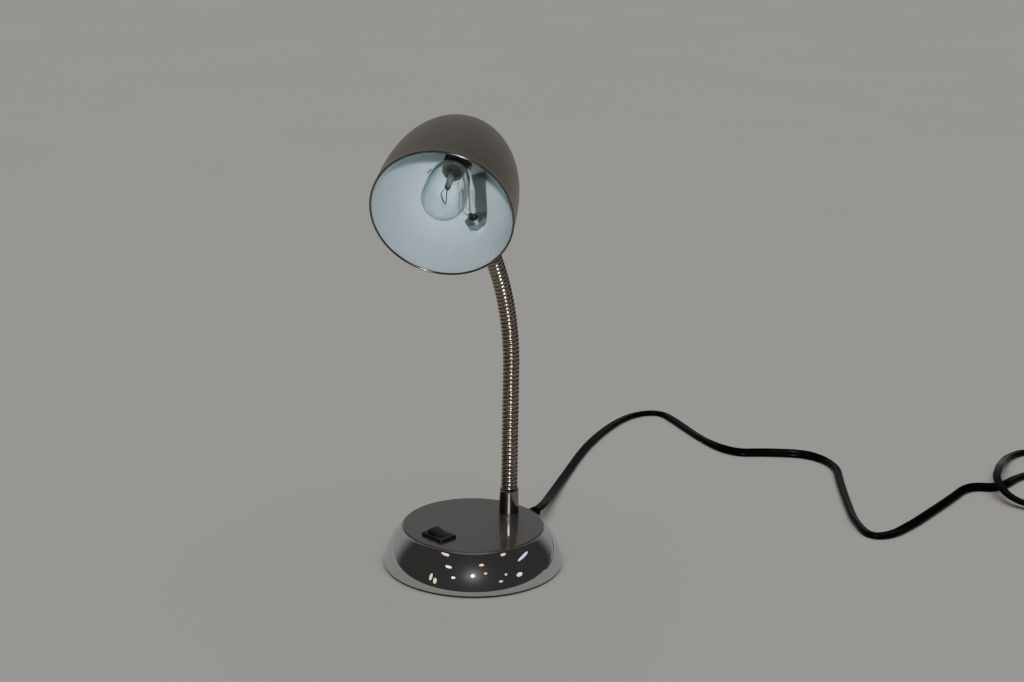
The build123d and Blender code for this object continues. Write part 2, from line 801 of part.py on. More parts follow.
neck_in = Vector(-cos(tilt), -sin(tilt))  # the neck's direction in the meridian
neck_along = Vector(-sin(tilt), cos(tilt))  # and square to it, toward the dome
wall_local = Vector(shade_radius(shade_hole_depth), shade_hole_depth)
strap_middle = wall_local + neck_in * (seat_inside + strap_thickness / 2)
strap_start = strap_middle - neck_along * strap_width
strap_knee = strap_middle + neck_along * ((strap_knee_depth - strap_middle.Y) / neck_along.Y)
strap_turn_x = shade_radius(strap_foot_depth, shade_wall) - strap_wall_gap
strap_foot_y = strap_foot_depth + strap_thickness / 2

with BuildPart() as socket_bracket:
    with BuildSketch(meridian):
        with BuildLine():
            FilletPolyline(
                strap_start,
                strap_knee,
                (strap_turn_x, strap_foot_y),
                (-strap_width / 2, strap_foot_y),
                radius=strap_bend,
            )
        trace(line_width=strap_thickness)
    extrude(amount=strap_width / 2, both=True)
    with BuildSketch(wall_plane):
        Circle(strap_width / 2)
        with Locations((shade_length / 2, 0)):
            Rectangle(shade_length, strap_width)
    extrude(amount=2 * shade_radius_rim, mode=Mode.INTERSECT)
    with BuildSketch(wall_plane):
        Circle(nipple_diameter / 2 + seat_gap)
    extrude(amount=seat_thickness + 3 * strap_thickness, mode=Mode.SUBTRACT)
    screw_plane = Plane(
        origin=head_point(0, strap_foot_depth - strap_face_in, socket_side),
        x_dir=inward * -1,
        z_dir=dome,
    )
    with BuildSketch(screw_plane):
        Circle(socket_screw_diameter / 2 + seat_gap)
    extrude(amount=2 * strap_thickness, mode=Mode.SUBTRACT)
save(socket_bracket, "socket_bracket")

# local x is the distance from the bulb's axis, local y the depth behind the rim
bulb_section = meridian.offset(socket_side)
bulb_axis = Axis(head_point(0, 0, socket_side), dome)
socket_front = bulb_mouth_depth + socket_front_gap
shell_inner = bulb_base_radius + running_gap
shell_outer = shell_inner + shell_wall
socket_bore = shell_outer + thread_gap
lug_plane = Plane(
    origin=head_point(0, lug_depth, socket_side), x_dir=inward * -1, z_dir=dome
)
lug_middle = (lug_reach + lug_root) / 2


def across_socket(depth):
    return Plane(origin=head_point(0, depth, socket_side), x_dir=inward * -1, z_dir=dome)


with BuildPart() as socket_body:
    with BuildSketch(bulb_section):
        with BuildLine():
            Polyline(
                (0, socket_floor),
                (socket_bore, socket_floor),
                (socket_bore, socket_front),
                (socket_bore + socket_face_width, socket_front),
                (socket_radius, socket_front + socket_chamfer),
                (socket_radius, strap_foot_depth),
                (0, strap_foot_depth),
                close=True,
            )
        make_face()
    revolve(axis=bulb_axis)
    with BuildSketch(lug_plane):
        with Locations((lug_middle, -lug_spacing / 2), (lug_middle, lug_spacing / 2)):
            Rectangle(lug_reach - lug_root, lug_width)
    extrude(amount=lug_thickness, mode=Mode.SUBTRACT)
    with BuildSketch(across_socket(strap_foot_depth - socket_screw_grip)):
        Circle(socket_screw_diameter / 2 + thread_gap)
    extrude(amount=socket_screw_grip, mode=Mode.SUBTRACT)
save(socket_body, "socket_body")

with BuildPart() as socket_shell:
    with BuildSketch(bulb_section):
        with BuildLine():
            Polyline(
                (shell_inner, socket_front + socket_chamfer),
                (shell_outer, socket_front + socket_chamfer),
                (shell_outer, socket_floor),
                (contact_radius + shell_floor_width, socket_floor),
                (contact_radius + shell_floor_width, socket_floor - shell_wall),
                (shell_inner, socket_floor - shell_wall),
                close=True,
            )
        make_face()
    revolve(axis=bulb_axis)
save(socket_shell, "socket_shell")

with BuildPart() as socket_contact:
    with BuildSketch(across_socket(contact_face)):
        Circle(contact_radius)
    extrude(amount=contact_thickness)
save(socket_contact, "socket_contact")

with BuildPart() as socket_lugs:
    with BuildSketch(lug_plane):
        with Locations((lug_middle, -lug_spacing / 2), (lug_middle, lug_spacing / 2)):
            Rectangle(lug_reach - lug_root, lug_width)
    extrude(amount=lug_thickness)
save(socket_lugs, "socket_lugs")

with BuildPart() as socket_screw:
    with BuildSketch(across_socket(strap_foot_depth + strap_thickness)):
        Circle(socket_screw_diameter)
    extrude(amount=socket_screw_head)
    fillet(socket_screw.faces().sort_by(Axis((0, 0, 0), dome))[-1].edges(), socket_screw_round)
    with BuildSketch(across_socket(strap_foot_depth - socket_screw_grip + screw_end_gap)):
        Circle(socket_screw_diameter / 2)
    extrude(amount=socket_screw_grip + strap_thickness)
    with BuildSketch(across_socket(strap_foot_depth + strap_thickness + socket_slot_floor)):
        Rectangle(2 * socket_screw_diameter, socket_slot_width)
    extrude(amount=socket_screw_diameter, mode=Mode.SUBTRACT)
save(socket_screw, "socket_screw")

# ---- bulb ----

bulb_centre = bulb_mouth_depth - bulb_length + bulb_radius
neck_top = bulb_mouth_depth - bulb_neck_length
glass_root_radius = bulb_base_radius - bulb_base_wall - glass_gap


def glass_outline(inset):
    Line((bulb_neck_radius - inset, bulb_mouth_depth), (bulb_neck_radius - inset, neck_top))
    Spline(
        (bulb_neck_radius - inset, neck_top),
        (bulb_radius - inset, bulb_centre),
        tangents=[(0, -1), (0, -1)],
        tangent_scalars=[0.8, 1.3],
    )
    ThreePointArc(
        (bulb_radius - inset, bulb_centre),
        ((bulb_radius - inset) * sin(pi / 4), bulb_centre - (bulb_radius - inset) * cos(pi / 4)),
        (0, bulb_centre - bulb_radius + inset),
    )


with BuildPart() as bulb_glass:
    with BuildSketch(bulb_section):
        with BuildLine():
            glass_outline(0.0)
            glass_outline(glass_wall)
            Line((0, bulb_centre - bulb_radius), (0, bulb_centre - bulb_radius + glass_wall))
            Polyline(
                (bulb_neck_radius, bulb_mouth_depth),
                (glass_root_radius, bulb_mouth_depth),
                (glass_root_radius, bulb_mouth_depth + glass_root),
                (glass_root_radius - glass_wall, bulb_mouth_depth + glass_root),
                (glass_root_radius - glass_wall, bulb_mouth_depth),
                (bulb_neck_radius - glass_wall, bulb_mouth_depth),
            )
        make_face()
    revolve(axis=bulb_axis)
save(bulb_glass, "bulb_glass")

with BuildPart() as bulb_base:
    with BuildSketch(bulb_section):
        with BuildLine():
            Polyline(
                (bulb_base_radius, bulb_mouth_depth),
                (bulb_base_radius, base_end - bulb_base_taper),
                (contact_radius + bulb_base_wall, base_end),
                (contact_radius, base_end),
                (contact_radius, base_end - bulb_base_wall),
                (bulb_base_radius - bulb_base_wall, base_end - bulb_base_taper - bulb_base_wall),
                (bulb_base_radius - bulb_base_wall, bulb_mouth_depth),
                close=True,
            )
        make_face()
    revolve(axis=bulb_axis)
save(bulb_base, "bulb_base")

with BuildPart() as bulb_insulator:
    with BuildSketch(across_socket(base_end - bulb_base_taper)):
        Circle(contact_radius - thread_gap)
        Circle(contact_radius / 2, mode=Mode.SUBTRACT)
    extrude(amount=bulb_base_taper + insulator_proud)
save(bulb_insulator, "bulb_insulator")

with BuildPart() as bulb_tip:
    with BuildSketch(across_socket(base_end - bulb_base_taper)):
        Circle(contact_radius / 2 - thread_gap)
    extrude(amount=bulb_base_taper + bulb_tip_height)
    with BuildSketch(across_socket(base_end + insulator_proud)):
        Circle(contact_radius - bulb_tip_round)
    extrude(amount=bulb_tip_height - insulator_proud)
save(bulb_tip, "bulb_tip")

stem_root = glass_root_radius - glass_wall - glass_gap
lead_x = stem_radius / 2
with BuildPart() as bulb_stem:
    with BuildSketch(bulb_section):
        with BuildLine():
            Polyline(
                (0, stem_depth),
                (stem_radius, stem_depth + stem_point),
                (stem_radius, bulb_mouth_depth - stem_flare),
                (stem_root, bulb_mouth_depth + stem_flare_end),
                (stem_root, bulb_mouth_depth + glass_root),
                (0, bulb_mouth_depth + glass_root),
                close=True,
            )
        make_face()
    revolve(axis=bulb_axis)
    with BuildSketch(across_socket(stem_depth)):
        with Locations((-lead_x, 0), (lead_x, 0)):
            Circle(filament_diameter / 2)
    extrude(amount=lead_seat, mode=Mode.SUBTRACT)
save(bulb_stem, "bulb_stem")

# two lead wires stand in the stem and hold the coiled filament between them
filament_rise = lead_hook - filament_bite
with BuildPart() as bulb_filament:
    for side in (-1, 1):
        with BuildLine(bulb_section) as lead_line:
            FilletPolyline(
                (side * lead_x, stem_depth + lead_seat),
                (side * lead_x, stem_depth - lead_fork),
                (side * filament_span / 2, filament_depth + lead_hook),
                (side * filament_span / 2, filament_depth - lead_hook),
                radius=1,
            )
        with BuildSketch(Plane(origin=lead_line.line @ 0, z_dir=lead_line.line % 0)):
            Circle(filament_diameter / 2)
        sweep(path=lead_line.line)
    with BuildLine(bulb_section) as coil_line:
        ThreePointArc(
            (-filament_span / 2, filament_depth - filament_rise),
            (0, filament_depth - filament_rise - filament_sag),
            (filament_span / 2, filament_depth - filament_rise),
        )
    with BuildSketch(Plane(origin=coil_line.line @ 0, z_dir=coil_line.line % 0)):
        Circle(filament_coil_radius)
    sweep(path=coil_line.line)
save(bulb_filament, "bulb_filament")

# ---- wires ----


def wire(points, radius, bend, bore=0.0):
    """Round wire or sleeve through these points, with its corners rounded."""
    with BuildPart() as piece:
        with BuildLine() as path:
            FilletPolyline(*points, radius=bend)
        with BuildSketch(Plane(origin=path.line @ 0, z_dir=path.line % 0)):
            Circle(radius)
            if bore:
                Circle(bore, mode=Mode.SUBTRACT)
        sweep(path=path.line)
    return piece


joint_first = joints[0]
joint_last = joints[-1]
head_span = (hose_ends[-1] - joint_last).normalized()
nipple_mouth = wall_local + neck_in * upper_nipple_end
sleeve_corner_x = nipple_mouth.X - lead_drop
head_wires = []
wire_sleeves = []
for side in (-1, 1):
    mouth = wall_point + neck_end * upper_nipple_end
    across = sideways * side * wire_offset
    lug_side = socket_side + side * lug_spacing / 2
    corner = head_point(sleeve_corner_x, nipple_mouth.Y - lead_forward, side * lead_spread)
    shoulder = head_point(
        sleeve_corner_x - lead_shoulder_in,
        bulb_mouth_depth + lead_shoulder_depth,
        (side * lead_spread + lug_side) / 2,
    )
    lug_start = head_point(lug_reach - lug_wire_inset, lug_depth - lug_wire_run, lug_side)
    lug_end = head_point(lug_reach - lug_wire_inset, lug_depth, lug_side)
    start = joint_last + head_span * wire_low + across
    lead_route = [start, mouth + across, corner, shoulder, lug_start, lug_end]
    head_wires.append(wire(lead_route, wire_diameter / 2, lead_bend))
    sleeve_start = mouth + across + (corner - mouth - across) * sleeve_start_share
    wire_sleeves.append(
        wire(
            [sleeve_start, corner, shoulder, lug_start, lug_end + opening * sleeve_end],
            sleeve_diameter / 2,
            lead_bend,
            wire_diameter / 2 + sleeve_gap,
        )
    )

with BuildPart() as head_wire_pair:
    for piece in head_wires:
        add(piece.part)
save(head_wire_pair, "head_wires")
with BuildPart() as sleeve_pair:
    for piece in wire_sleeves:
        add(piece.part)
save(sleeve_pair, "wire_sleeves")

foot_top = joint_first.Z + wire_past_joint
receptacle_rear = switch_y + receptacle_width / 2
neck_right = neck_foot + sideways * wire_offset
neck_left = neck_foot - sideways * wire_offset
switch_wire = wire(
    [
        (neck_right.X, neck_right.Y, foot_top),
        (neck_right.X, neck_right.Y, receptacle_middle),
        (tab_spacing / 2, neck_y - switch_wire_drop, receptacle_middle),
        (tab_spacing / 2, receptacle_rear, receptacle_middle),
    ],
    wire_diameter / 2,
    neck_wire_bend,
)
neutral_wire = wire(
    [
        (neck_left.X, neck_left.Y, foot_top),
        (neck_left.X, neck_left.Y, lead_height),
        (splice_x + wire_offset, splice_rear + neutral_run, lead_height),
        (splice_x + wire_offset, splice_rear, lead_height),
    ],
    wire_diameter / 2,
    neutral_bend,
)
with BuildPart() as neck_leads:
    add(switch_wire.part)
    add(neutral_wire.part)
save(neck_leads, "neck_leads")

with BuildPart() as wire_splice:
    splice_plane = Plane(origin=(splice_x, splice_rear, lead_height), z_dir=(0, -1, 0))
    with BuildSketch(splice_plane):
        Circle(splice_radius)
    extrude(amount=splice_length)
    fillet(wire_splice.faces().sort_by(Axis.Y)[0].edges(), splice_round)
save(wire_splice, "wire_splice")

cord_inner_end = exit_plane.origin
inner_left = cord_inner_end + exit_plane.x_dir * wire_offset
inner_right = cord_inner_end - exit_plane.x_dir * wire_offset
live_lead = wire(
    [
        inner_left,
        inner_left - exit_direction * live_run,
        (-channel_side, channel_rear, lead_height - wire_rest),
        (-channel_rest, channel_middle, lead_height - wire_rest),
        (-tab_spacing / 2, receptacle_rear + live_tab_run, receptacle_middle),
        (-tab_spacing / 2, receptacle_rear, receptacle_middle),
    ],
    wire_diameter / 2,
    long_bend,
)
neutral_lead = wire(
    [
        inner_right,
        inner_right - exit_direction * neutral_exit_run,
        (splice_x - wire_offset, splice_rear + splice_run, lead_height),
        (splice_x - wire_offset, splice_rear, lead_height),
    ],
    wire_diameter / 2,
    long_bend,
)
with BuildPart() as cord_leads:
    add(live_lead.part)
    add(neutral_lead.part)
save(cord_leads, "cord_leads")

# ---- mains cord ----

skirt_exit = skirt_out(cord_exit_height)[0]
relief_end = skirt_exit + relief_reach - cord_inner_radius
with BuildPart() as strain_relief:
    with BuildSketch(Plane(origin=exit_plane.origin, x_dir=up, z_dir=up.cross(exit_direction))):
        with BuildLine():
            Polyline(
                (cord_diameter / 2, 0),
                (relief_flange_radius, 0),
                (relief_flange_radius, relief_flange),
                (relief_root_radius, relief_flange),
                (relief_root_radius, skirt_exit - cord_inner_radius + relief_straight),
                (relief_tip_radius, relief_end),
                (cord_diameter / 2, relief_end),
                close=True,
            )
        make_face()
    revolve(axis=Axis(exit_plane.origin, exit_direction))
save(strain_relief, "strain_relief")

floor_z = cord_diameter / 2
hump_z = floor_z + 2 * cord_diameter
exit_far = exit_plane.origin + exit_direction * (relief_end + cord_past_relief)
cord_points = [
    tuple(exit_plane.origin),
    tuple(exit_far),
    (-42.0, 121.0, 6.5),
    (-72.0, 174.0, floor_z),
    (-104.0, 229.0, floor_z),
    (-130.0, 281.0, floor_z),
    (-147.0, 330.0, floor_z),
    (-132.0, 367.0, floor_z),
    (-94.0, 350.0, floor_z),
    (-53.0, 330.0, floor_z),
    (-14.0, 313.0, floor_z),
    (10.0, 341.0, floor_z),
    (35.0, 368.0, floor_z),
    (66.0, 363.0, floor_z),
    (94.0, 328.0, floor_z),
    (135.0, 276.0, floor_z),
    (155.0, 254.0, floor_z),
    (172.0, 252.0, floor_z),
    (184.0, 265.0, floor_z),
    (187.0, 291.0, floor_z),
    (181.0, 324.0, floor_z),
    (176.0, 364.0, floor_z),
    (169.0, 398.0, floor_z),
    (188.0, 418.0, floor_z),
    (189.0, 450.0, floor_z),
    (196.0, 481.0, floor_z),
    (196.5, 512.0, floor_z),
    (175.0, 525.0, floor_z),
    (153.5, 512.0, floor_z),
    (152.0, 486.0, floor_z),
    (161.0, 461.0, hump_z * 0.55),
    (175.0, 437.0, hump_z),
    (195.0, 412.0, hump_z),
    (219.0, 398.0, hump_z * 0.45),
    (244.0, 401.0, floor_z),
    (coil_centre[0], coil_centre[1] - coil_middle_radius, floor_z),
]


def corner_radii(points):
    """Each corner's arc is as large as its two runs allow."""
    radii = []
    for before, at, after in zip(points, points[1:], points[2:]):
        first, second = Vector(at) - Vector(before), Vector(after) - Vector(at)
        turn = radians(first.get_angle(second))
        radii.append(0.45 * min(first.length, second.length) / tan(turn / 2))
    return radii


cord_radii = corner_radii(cord_points)
tail_start = Vector(coil_centre[0] + coil_middle_radius, coil_centre[1], plug_thickness / 2)
tail_end = tail_start + Vector(0, tail_length, 0)
with BuildPart() as cord_tube:
    with BuildLine() as cord_path:
        FilletPolyline(*cord_points, radius=cord_radii)
    with BuildSketch(Plane(origin=cord_path.line @ 0, z_dir=cord_path.line % 0)):
        Circle(cord_diameter / 2)
    sweep(path=cord_path.line)
    with BuildSketch(Plane(origin=tail_start, z_dir=(0, 1, 0))):
        Circle(cord_diameter / 2)
    extrude(amount=tail_length)
save(cord_tube, "cord_tube")

coil_width = coil_layers * cord_diameter
tie_turn = radians(tie_angle)
tie_plane = Plane(
    origin=(
        coil_centre[0] + coil_middle_radius * cos(tie_turn),
        coil_centre[1] + coil_middle_radius * sin(tie_turn),
        coil_width / 2,
    ),
    x_dir=(cos(tie_turn), sin(tie_turn), 0),
    z_dir=(-sin(tie_turn), cos(tie_turn), 0),
)
coil_round = cord_diameter * 0.4
tie_inner = coil_width - 2 * tie_thickness

with BuildPart() as cord_coil:
    with BuildSketch(Plane(origin=(*coil_centre, 0), x_dir=(1, 0, 0), z_dir=(0, -1, 0))):
        with Locations((coil_middle_radius, coil_width / 2)):
            RectangleRounded(coil_width, coil_width, coil_round)
    revolve(axis=Axis((*coil_centre, 0), (0, 0, 1)))
    with BuildSketch(tie_plane):
        Rectangle(2 * coil_width, 2 * coil_width)
        RectangleRounded(tie_inner, tie_inner, coil_round - tie_thickness, mode=Mode.SUBTRACT)
    extrude(amount=tie_width / 2, both=True, mode=Mode.SUBTRACT)
save(cord_coil, "cord_coil")

with BuildPart() as cord_tie:
    with BuildSketch(tie_plane):
        RectangleRounded(coil_width, coil_width, coil_round)
        RectangleRounded(tie_inner, tie_inner, coil_round - tie_thickness, mode=Mode.SUBTRACT)
    extrude(amount=tie_width / 2, both=True)
save(cord_tie, "cord_tie")

plug_plane = Plane(origin=tail_end, x_dir=(1, 0, 0), z_dir=(0, 1, 0))
with BuildPart() as plug_body:
    with BuildSketch(plug_plane):
        Circle(cord_diameter / 2 + plug_neck_wall)
    with BuildSketch(plug_plane.offset(plug_taper)):
        RectangleRounded(plug_shoulder_width, plug_thickness, plug_corner)
    loft()
    with BuildSketch(plug_plane.offset(plug_taper)):
        RectangleRounded(plug_width, plug_thickness, plug_corner)
    extrude(amount=plug_length - plug_taper)
    with BuildSketch(plug_plane.offset(plug_length - blade_root)):
        with Locations((-blade_spacing / 2, 0), (blade_spacing / 2, 0)):
            Rectangle(blade_thickness, blade_width)
    extrude(amount=blade_root, mode=Mode.SUBTRACT)
save(plug_body, "plug_body")

with BuildPart() as plug_blades:
    with BuildSketch(plug_plane.offset(plug_length - blade_root)):
        with Locations((-blade_spacing / 2, 0), (blade_spacing / 2, 0)):
            Rectangle(blade_thickness, blade_width)
    extrude(amount=blade_root + blade_length)
    chamfer(plug_blades.faces().sort_by(Axis.Y)[-2:].edges().filter_by(Axis.Z), blade_chamfer)
save(plug_blades, "plug_blades")

tube_length = sum(edge.length for edge in cord_path.edges())
coil_length = 2 * pi * coil_middle_radius * coil_turns
section_area = pi * cord_diameter**2 / 4
print("cord radii", [round(radius, 1) for radius in cord_radii])
print(
    "tube volume",
    round(cord_tube.part.volume - section_area * tail_length),
    "by length",
    round(section_area * tube_length),
)
print("tube length", round(tube_length), "cord length", round(tube_length + coil_length + tail_length))
print("lowest point of the tube", round(cord_tube.part.bounding_box().min.Z, 3))
print("joint spacing", round(link_length, 2), "neck length", round(neck_length, 1))
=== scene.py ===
import math

import bmesh
import bpy
from mathutils import Matrix, Vector


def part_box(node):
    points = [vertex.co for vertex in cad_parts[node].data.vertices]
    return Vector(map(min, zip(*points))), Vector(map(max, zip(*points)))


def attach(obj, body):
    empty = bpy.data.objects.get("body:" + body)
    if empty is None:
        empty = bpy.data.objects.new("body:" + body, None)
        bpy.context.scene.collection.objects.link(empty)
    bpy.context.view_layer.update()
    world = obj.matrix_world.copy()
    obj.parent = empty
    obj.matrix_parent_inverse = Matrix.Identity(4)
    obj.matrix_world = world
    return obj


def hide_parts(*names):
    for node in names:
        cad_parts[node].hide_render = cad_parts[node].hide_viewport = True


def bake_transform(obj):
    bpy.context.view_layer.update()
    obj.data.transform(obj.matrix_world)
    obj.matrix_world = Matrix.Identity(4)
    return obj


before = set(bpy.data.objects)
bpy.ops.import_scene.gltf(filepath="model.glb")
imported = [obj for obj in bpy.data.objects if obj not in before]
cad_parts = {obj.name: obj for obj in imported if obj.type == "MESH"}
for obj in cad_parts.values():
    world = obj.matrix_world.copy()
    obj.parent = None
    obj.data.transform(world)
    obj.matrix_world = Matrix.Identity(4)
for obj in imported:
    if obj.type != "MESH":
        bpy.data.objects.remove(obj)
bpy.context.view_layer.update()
mm = 0.001
up = Vector((0, 0, 1))
print("frame loaded:", len(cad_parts), "nodes")


def hexColor(code, alpha=1.0):
    # sRGB hex to the linear values that shaders want
    channels = [int(code[i:i + 2], 16) / 255 for i in (1, 3, 5)]
    return (*[c / 12.92 if c <= 0.04045 else ((c + 0.055) / 1.055) ** 2.4 for c in channels], alpha)


def addNode(tree, kind, settings=None, inputs=None):
    # one node with its settings; an input is a value, or a socket to link from
    node = tree.nodes.new(kind)
    for key, value in (settings or {}).items():
        setattr(node, key, value)
    for key, value in (inputs or {}).items():
        if isinstance(value, bpy.types.NodeSocket):
            tree.links.new(value, node.inputs[key])
        else:
            node.inputs[key].default_value = value
    return node


# the lamp's own lines, from the same driving sizes as its construction; angles in degrees
lamp = {
    "baseTop": 29.0 * mm, "neckBack": 36.3 * mm,
    "straight": 111.2 * mm, "bendRadius": 184.0 * mm, "bend": 37.1, "lean": 5.0,
    "rimRadius": 48.4 * mm, "shadeLength": 95.5 * mm, "fullness": 2.47, "roundness": 1.9,
    "wall": 0.8 * mm, "holeDepth": 48.3 * mm, "tilt": 11.0, "turn": 28.7,
    "lowerFerrule": 18.5 * mm, "upperFerrule": 14.0 * mm, "hoseShow": 6.0 * mm, "links": 8,
    "hoseHold": 12.0 * mm, "upperHoseHold": 7.2 * mm,  # how far each ferrule holds the hose
    "socketSide": -3.0 * mm,
}
lean = math.radians(lamp["lean"])
sideways = Vector((math.cos(lean), math.sin(lean), 0))
forward = Vector((math.sin(lean), -math.cos(lean), 0))
neckFoot = Vector((0, lamp["neckBack"], lamp["baseTop"]))
neckLength = lamp["straight"] + lamp["bendRadius"] * math.radians(lamp["bend"])


def neckPlace(along):
    # point and direction on the neck's middle line
    turn = max(0.0, along - lamp["straight"]) / lamp["bendRadius"]
    rise = min(along, lamp["straight"]) + lamp["bendRadius"] * math.sin(turn)
    reach = lamp["bendRadius"] * (1 - math.cos(turn))
    return neckFoot + up * rise + forward * reach, up * math.cos(turn) + forward * math.sin(turn)


wallPoint, neckEnd = neckPlace(neckLength)
endForward = -neckEnd.cross(sideways).normalized()
shadeTurn, shadeTilt = math.radians(lamp["turn"]), math.radians(lamp["tilt"])
turned = endForward * math.cos(shadeTurn) + sideways * math.sin(shadeTurn)
opening = turned * math.cos(shadeTilt) + neckEnd * math.sin(shadeTilt)
inward = neckEnd * math.cos(shadeTilt) - turned * math.sin(shadeTilt)


def shadeRadius(depth, inset=0.0):
    share = (depth / (lamp["shadeLength"] - inset)) ** lamp["fullness"]
    return (lamp["rimRadius"] - inset) * (1 - min(share, 1.0)) ** (1 / lamp["roundness"])


rimCentre = wallPoint + inward * shadeRadius(lamp["holeDepth"]) + opening * lamp["holeDepth"]
headSide = inward.cross(opening)


def headPoint(radius, depth, side=0.0):
    # off the shade's axis toward the neck, behind the rim, and sideways
    return rimCentre - inward * radius - opening * depth + headSide * side


def axesMatrix(x, y, z, origin):
    # matrix that moves the plain axes onto these three, at this origin
    return Matrix((
        (x.x, y.x, z.x, origin.x),
        (x.y, y.y, z.y, origin.y),
        (x.z, y.z, z.z, origin.z),
        (0, 0, 0, 1),
    ))


def frameAt(origin, axis, toward):
    # matrix whose z runs along axis and whose x points near toward
    z = axis.normalized()
    x = (toward - z * toward.dot(z)).normalized()
    return axesMatrix(x, z.cross(x), z, origin)


cameraSettings = {
    "place": (0.8571, -0.8203, 0.5171),
    "azimuth": 45.0,  # degrees round the lamp
    "pitch": 0.286, "roll": 0.0159,  # radians
    "focalPixels": 1750.0, "imageWidth": 1024.0, "sensor": 36.0, "farthest": 60.0,
}


def makeCamera(settings):
    turn, pitch, roll = math.radians(settings["azimuth"]), settings["pitch"], settings["roll"]
    level = math.cos(pitch)
    back = Vector((math.sin(turn) * level, -math.cos(turn) * level, math.sin(pitch)))
    right = Vector((math.cos(turn), math.sin(turn), 0))
    cameraUp = back.cross(right)
    x = right * math.cos(roll) + cameraUp * math.sin(roll)
    y = cameraUp * math.cos(roll) - right * math.sin(roll)
    data = bpy.data.cameras.new("camera")
    data.sensor_width = settings["sensor"]
    data.lens = settings["focalPixels"] * settings["sensor"] / settings["imageWidth"]
    data.clip_end = settings["farthest"]
    made = bpy.data.objects.new("camera", data)
    bpy.context.scene.collection.objects.link(made)
    made.matrix_world = axesMatrix(x, y, back, Vector(settings["place"]))
    bpy.context.scene.camera = made


makeCamera(cameraSettings)
print("camera set")


# finishes

metalFamily = {"detail": 4.0, "finePolish": True, "reliefDepth": 0.05 * mm}
mouldedFamily = {"detail": 3.0, "finePolish": False, "reliefDepth": 0.02 * mm}


def newFinish(name, place="Object"):
    # an empty material, its tree, and the coordinates to texture by
    material = bpy.data.materials.new(name)
    material.use_nodes = True
    material.node_tree.nodes.clear()
    coordinates = addNode(material.node_tree, "ShaderNodeTexCoord")
    return material, material.node_tree, coordinates.outputs[place]


def closeFinish(material, values):
    # the shader, with values or sockets for its inputs, and the output
    tree = material.node_tree
    shader = addNode(tree, "ShaderNodeBsdfPrincipled", inputs=values)
    addNode(tree, "ShaderNodeOutputMaterial", inputs={"Surface": shader.outputs["BSDF"]})
    return material


def grainedFinish(name, tones, polish, cloud, grain, relief, family, values):
    # two tones in soft clouds, a polish that changes a little, and a fine relief
    material, tree, place = newFinish(name)
    clouds, fine = [
        addNode(tree, "ShaderNodeTexNoise", inputs={
            "Vector": place, "Scale": 1 / (size * mm), "Detail": detail,
        }).outputs["Fac"]
        for size, detail in ((cloud, family["detail"]), (grain, 2.0))
    ]
    colour = addNode(tree, "ShaderNodeMix", {"data_type": "RGBA"}, {
        0: clouds, 6: hexColor(tones[0]), 7: hexColor(tones[1]),
    })
    # noise stays mostly between 0.3 and 0.7
    rough = addNode(tree, "ShaderNodeMapRange", inputs={
        "Value": fine if family["finePolish"] else clouds, "From Min": 0.3, "From Max": 0.7,
        "To Min": polish[0], "To Max": polish[1],
    })
    linked = {"Base Color": colour.outputs[2], "Roughness": rough.outputs["Result"]}
    if relief:
        linked["Normal"] = addNode(tree, "ShaderNodeBump", inputs={
            "Height": fine, "Strength": relief, "Distance": family["reliefDepth"],
        }).outputs["Normal"]
    return closeFinish(material, {**values, **linked})


def metalFinish(
    name, light, dark, polish, cloud=14.0, grain=1.2, relief=0.0,
    coat=0.0, coatPolish=0.1, bare=1.0,
):
    # plated or bare metal: a faint cloud in its colour, and a grain that softens its highlights
    return grainedFinish(name, (light, dark), polish, cloud, grain, relief, metalFamily, {
        "Metallic": bare,  # under 1 the satin layer scatters a little
        "Coat Weight": coat, "Coat Roughness": coatPolish,
    })


def mouldedFinish(name, light, dark, gloss, grain, relief, cloud=9.0, shine=0.5):
    # moulded plastic, rubber or enamel: the mould's fine texture and a slight change in gloss
    return grainedFinish(name, (light, dark), gloss, cloud, grain, relief, mouldedFamily, {
        "IOR": 1.5, "Specular IOR Level": shine,
    })


def braidedFinish(name, light, dark, strand=0.6):
    # glass fibre braided into a sleeve: matt, with crossed strands
    material, tree, across = newFinish(name, "UV")
    strands = []
    for slant in (45, -45):
        slanted = addNode(tree, "ShaderNodeMapping", inputs={
            "Vector": across, "Rotation": (0, 0, math.radians(slant)),
        })
        # a wave texture at scale 1 has a band every pi / 10 of its units, here millimetres
        strands.append(addNode(tree, "ShaderNodeTexWave", inputs={
            "Vector": slanted.outputs["Vector"], "Scale": 0.314 / strand, "Distortion": 0.5,
        }).outputs["Fac"])
    braid = addNode(tree, "ShaderNodeMath", {"operation": "MULTIPLY"}, {
        0: strands[0], 1: strands[1],
    })
    colour = addNode(tree, "ShaderNodeMix", {"data_type": "RGBA"}, {
        0: braid.outputs[0], 6: hexColor(dark), 7: hexColor(light),
    })
    bump = addNode(tree, "ShaderNodeBump", inputs={
        "Height": braid.outputs[0], "Strength": 0.6, "Distance": 0.2 * mm,
    })
    return closeFinish(material, {
        "Base Color": colour.outputs[2], "Normal": bump.outputs["Normal"], "Roughness": 0.7,
    })


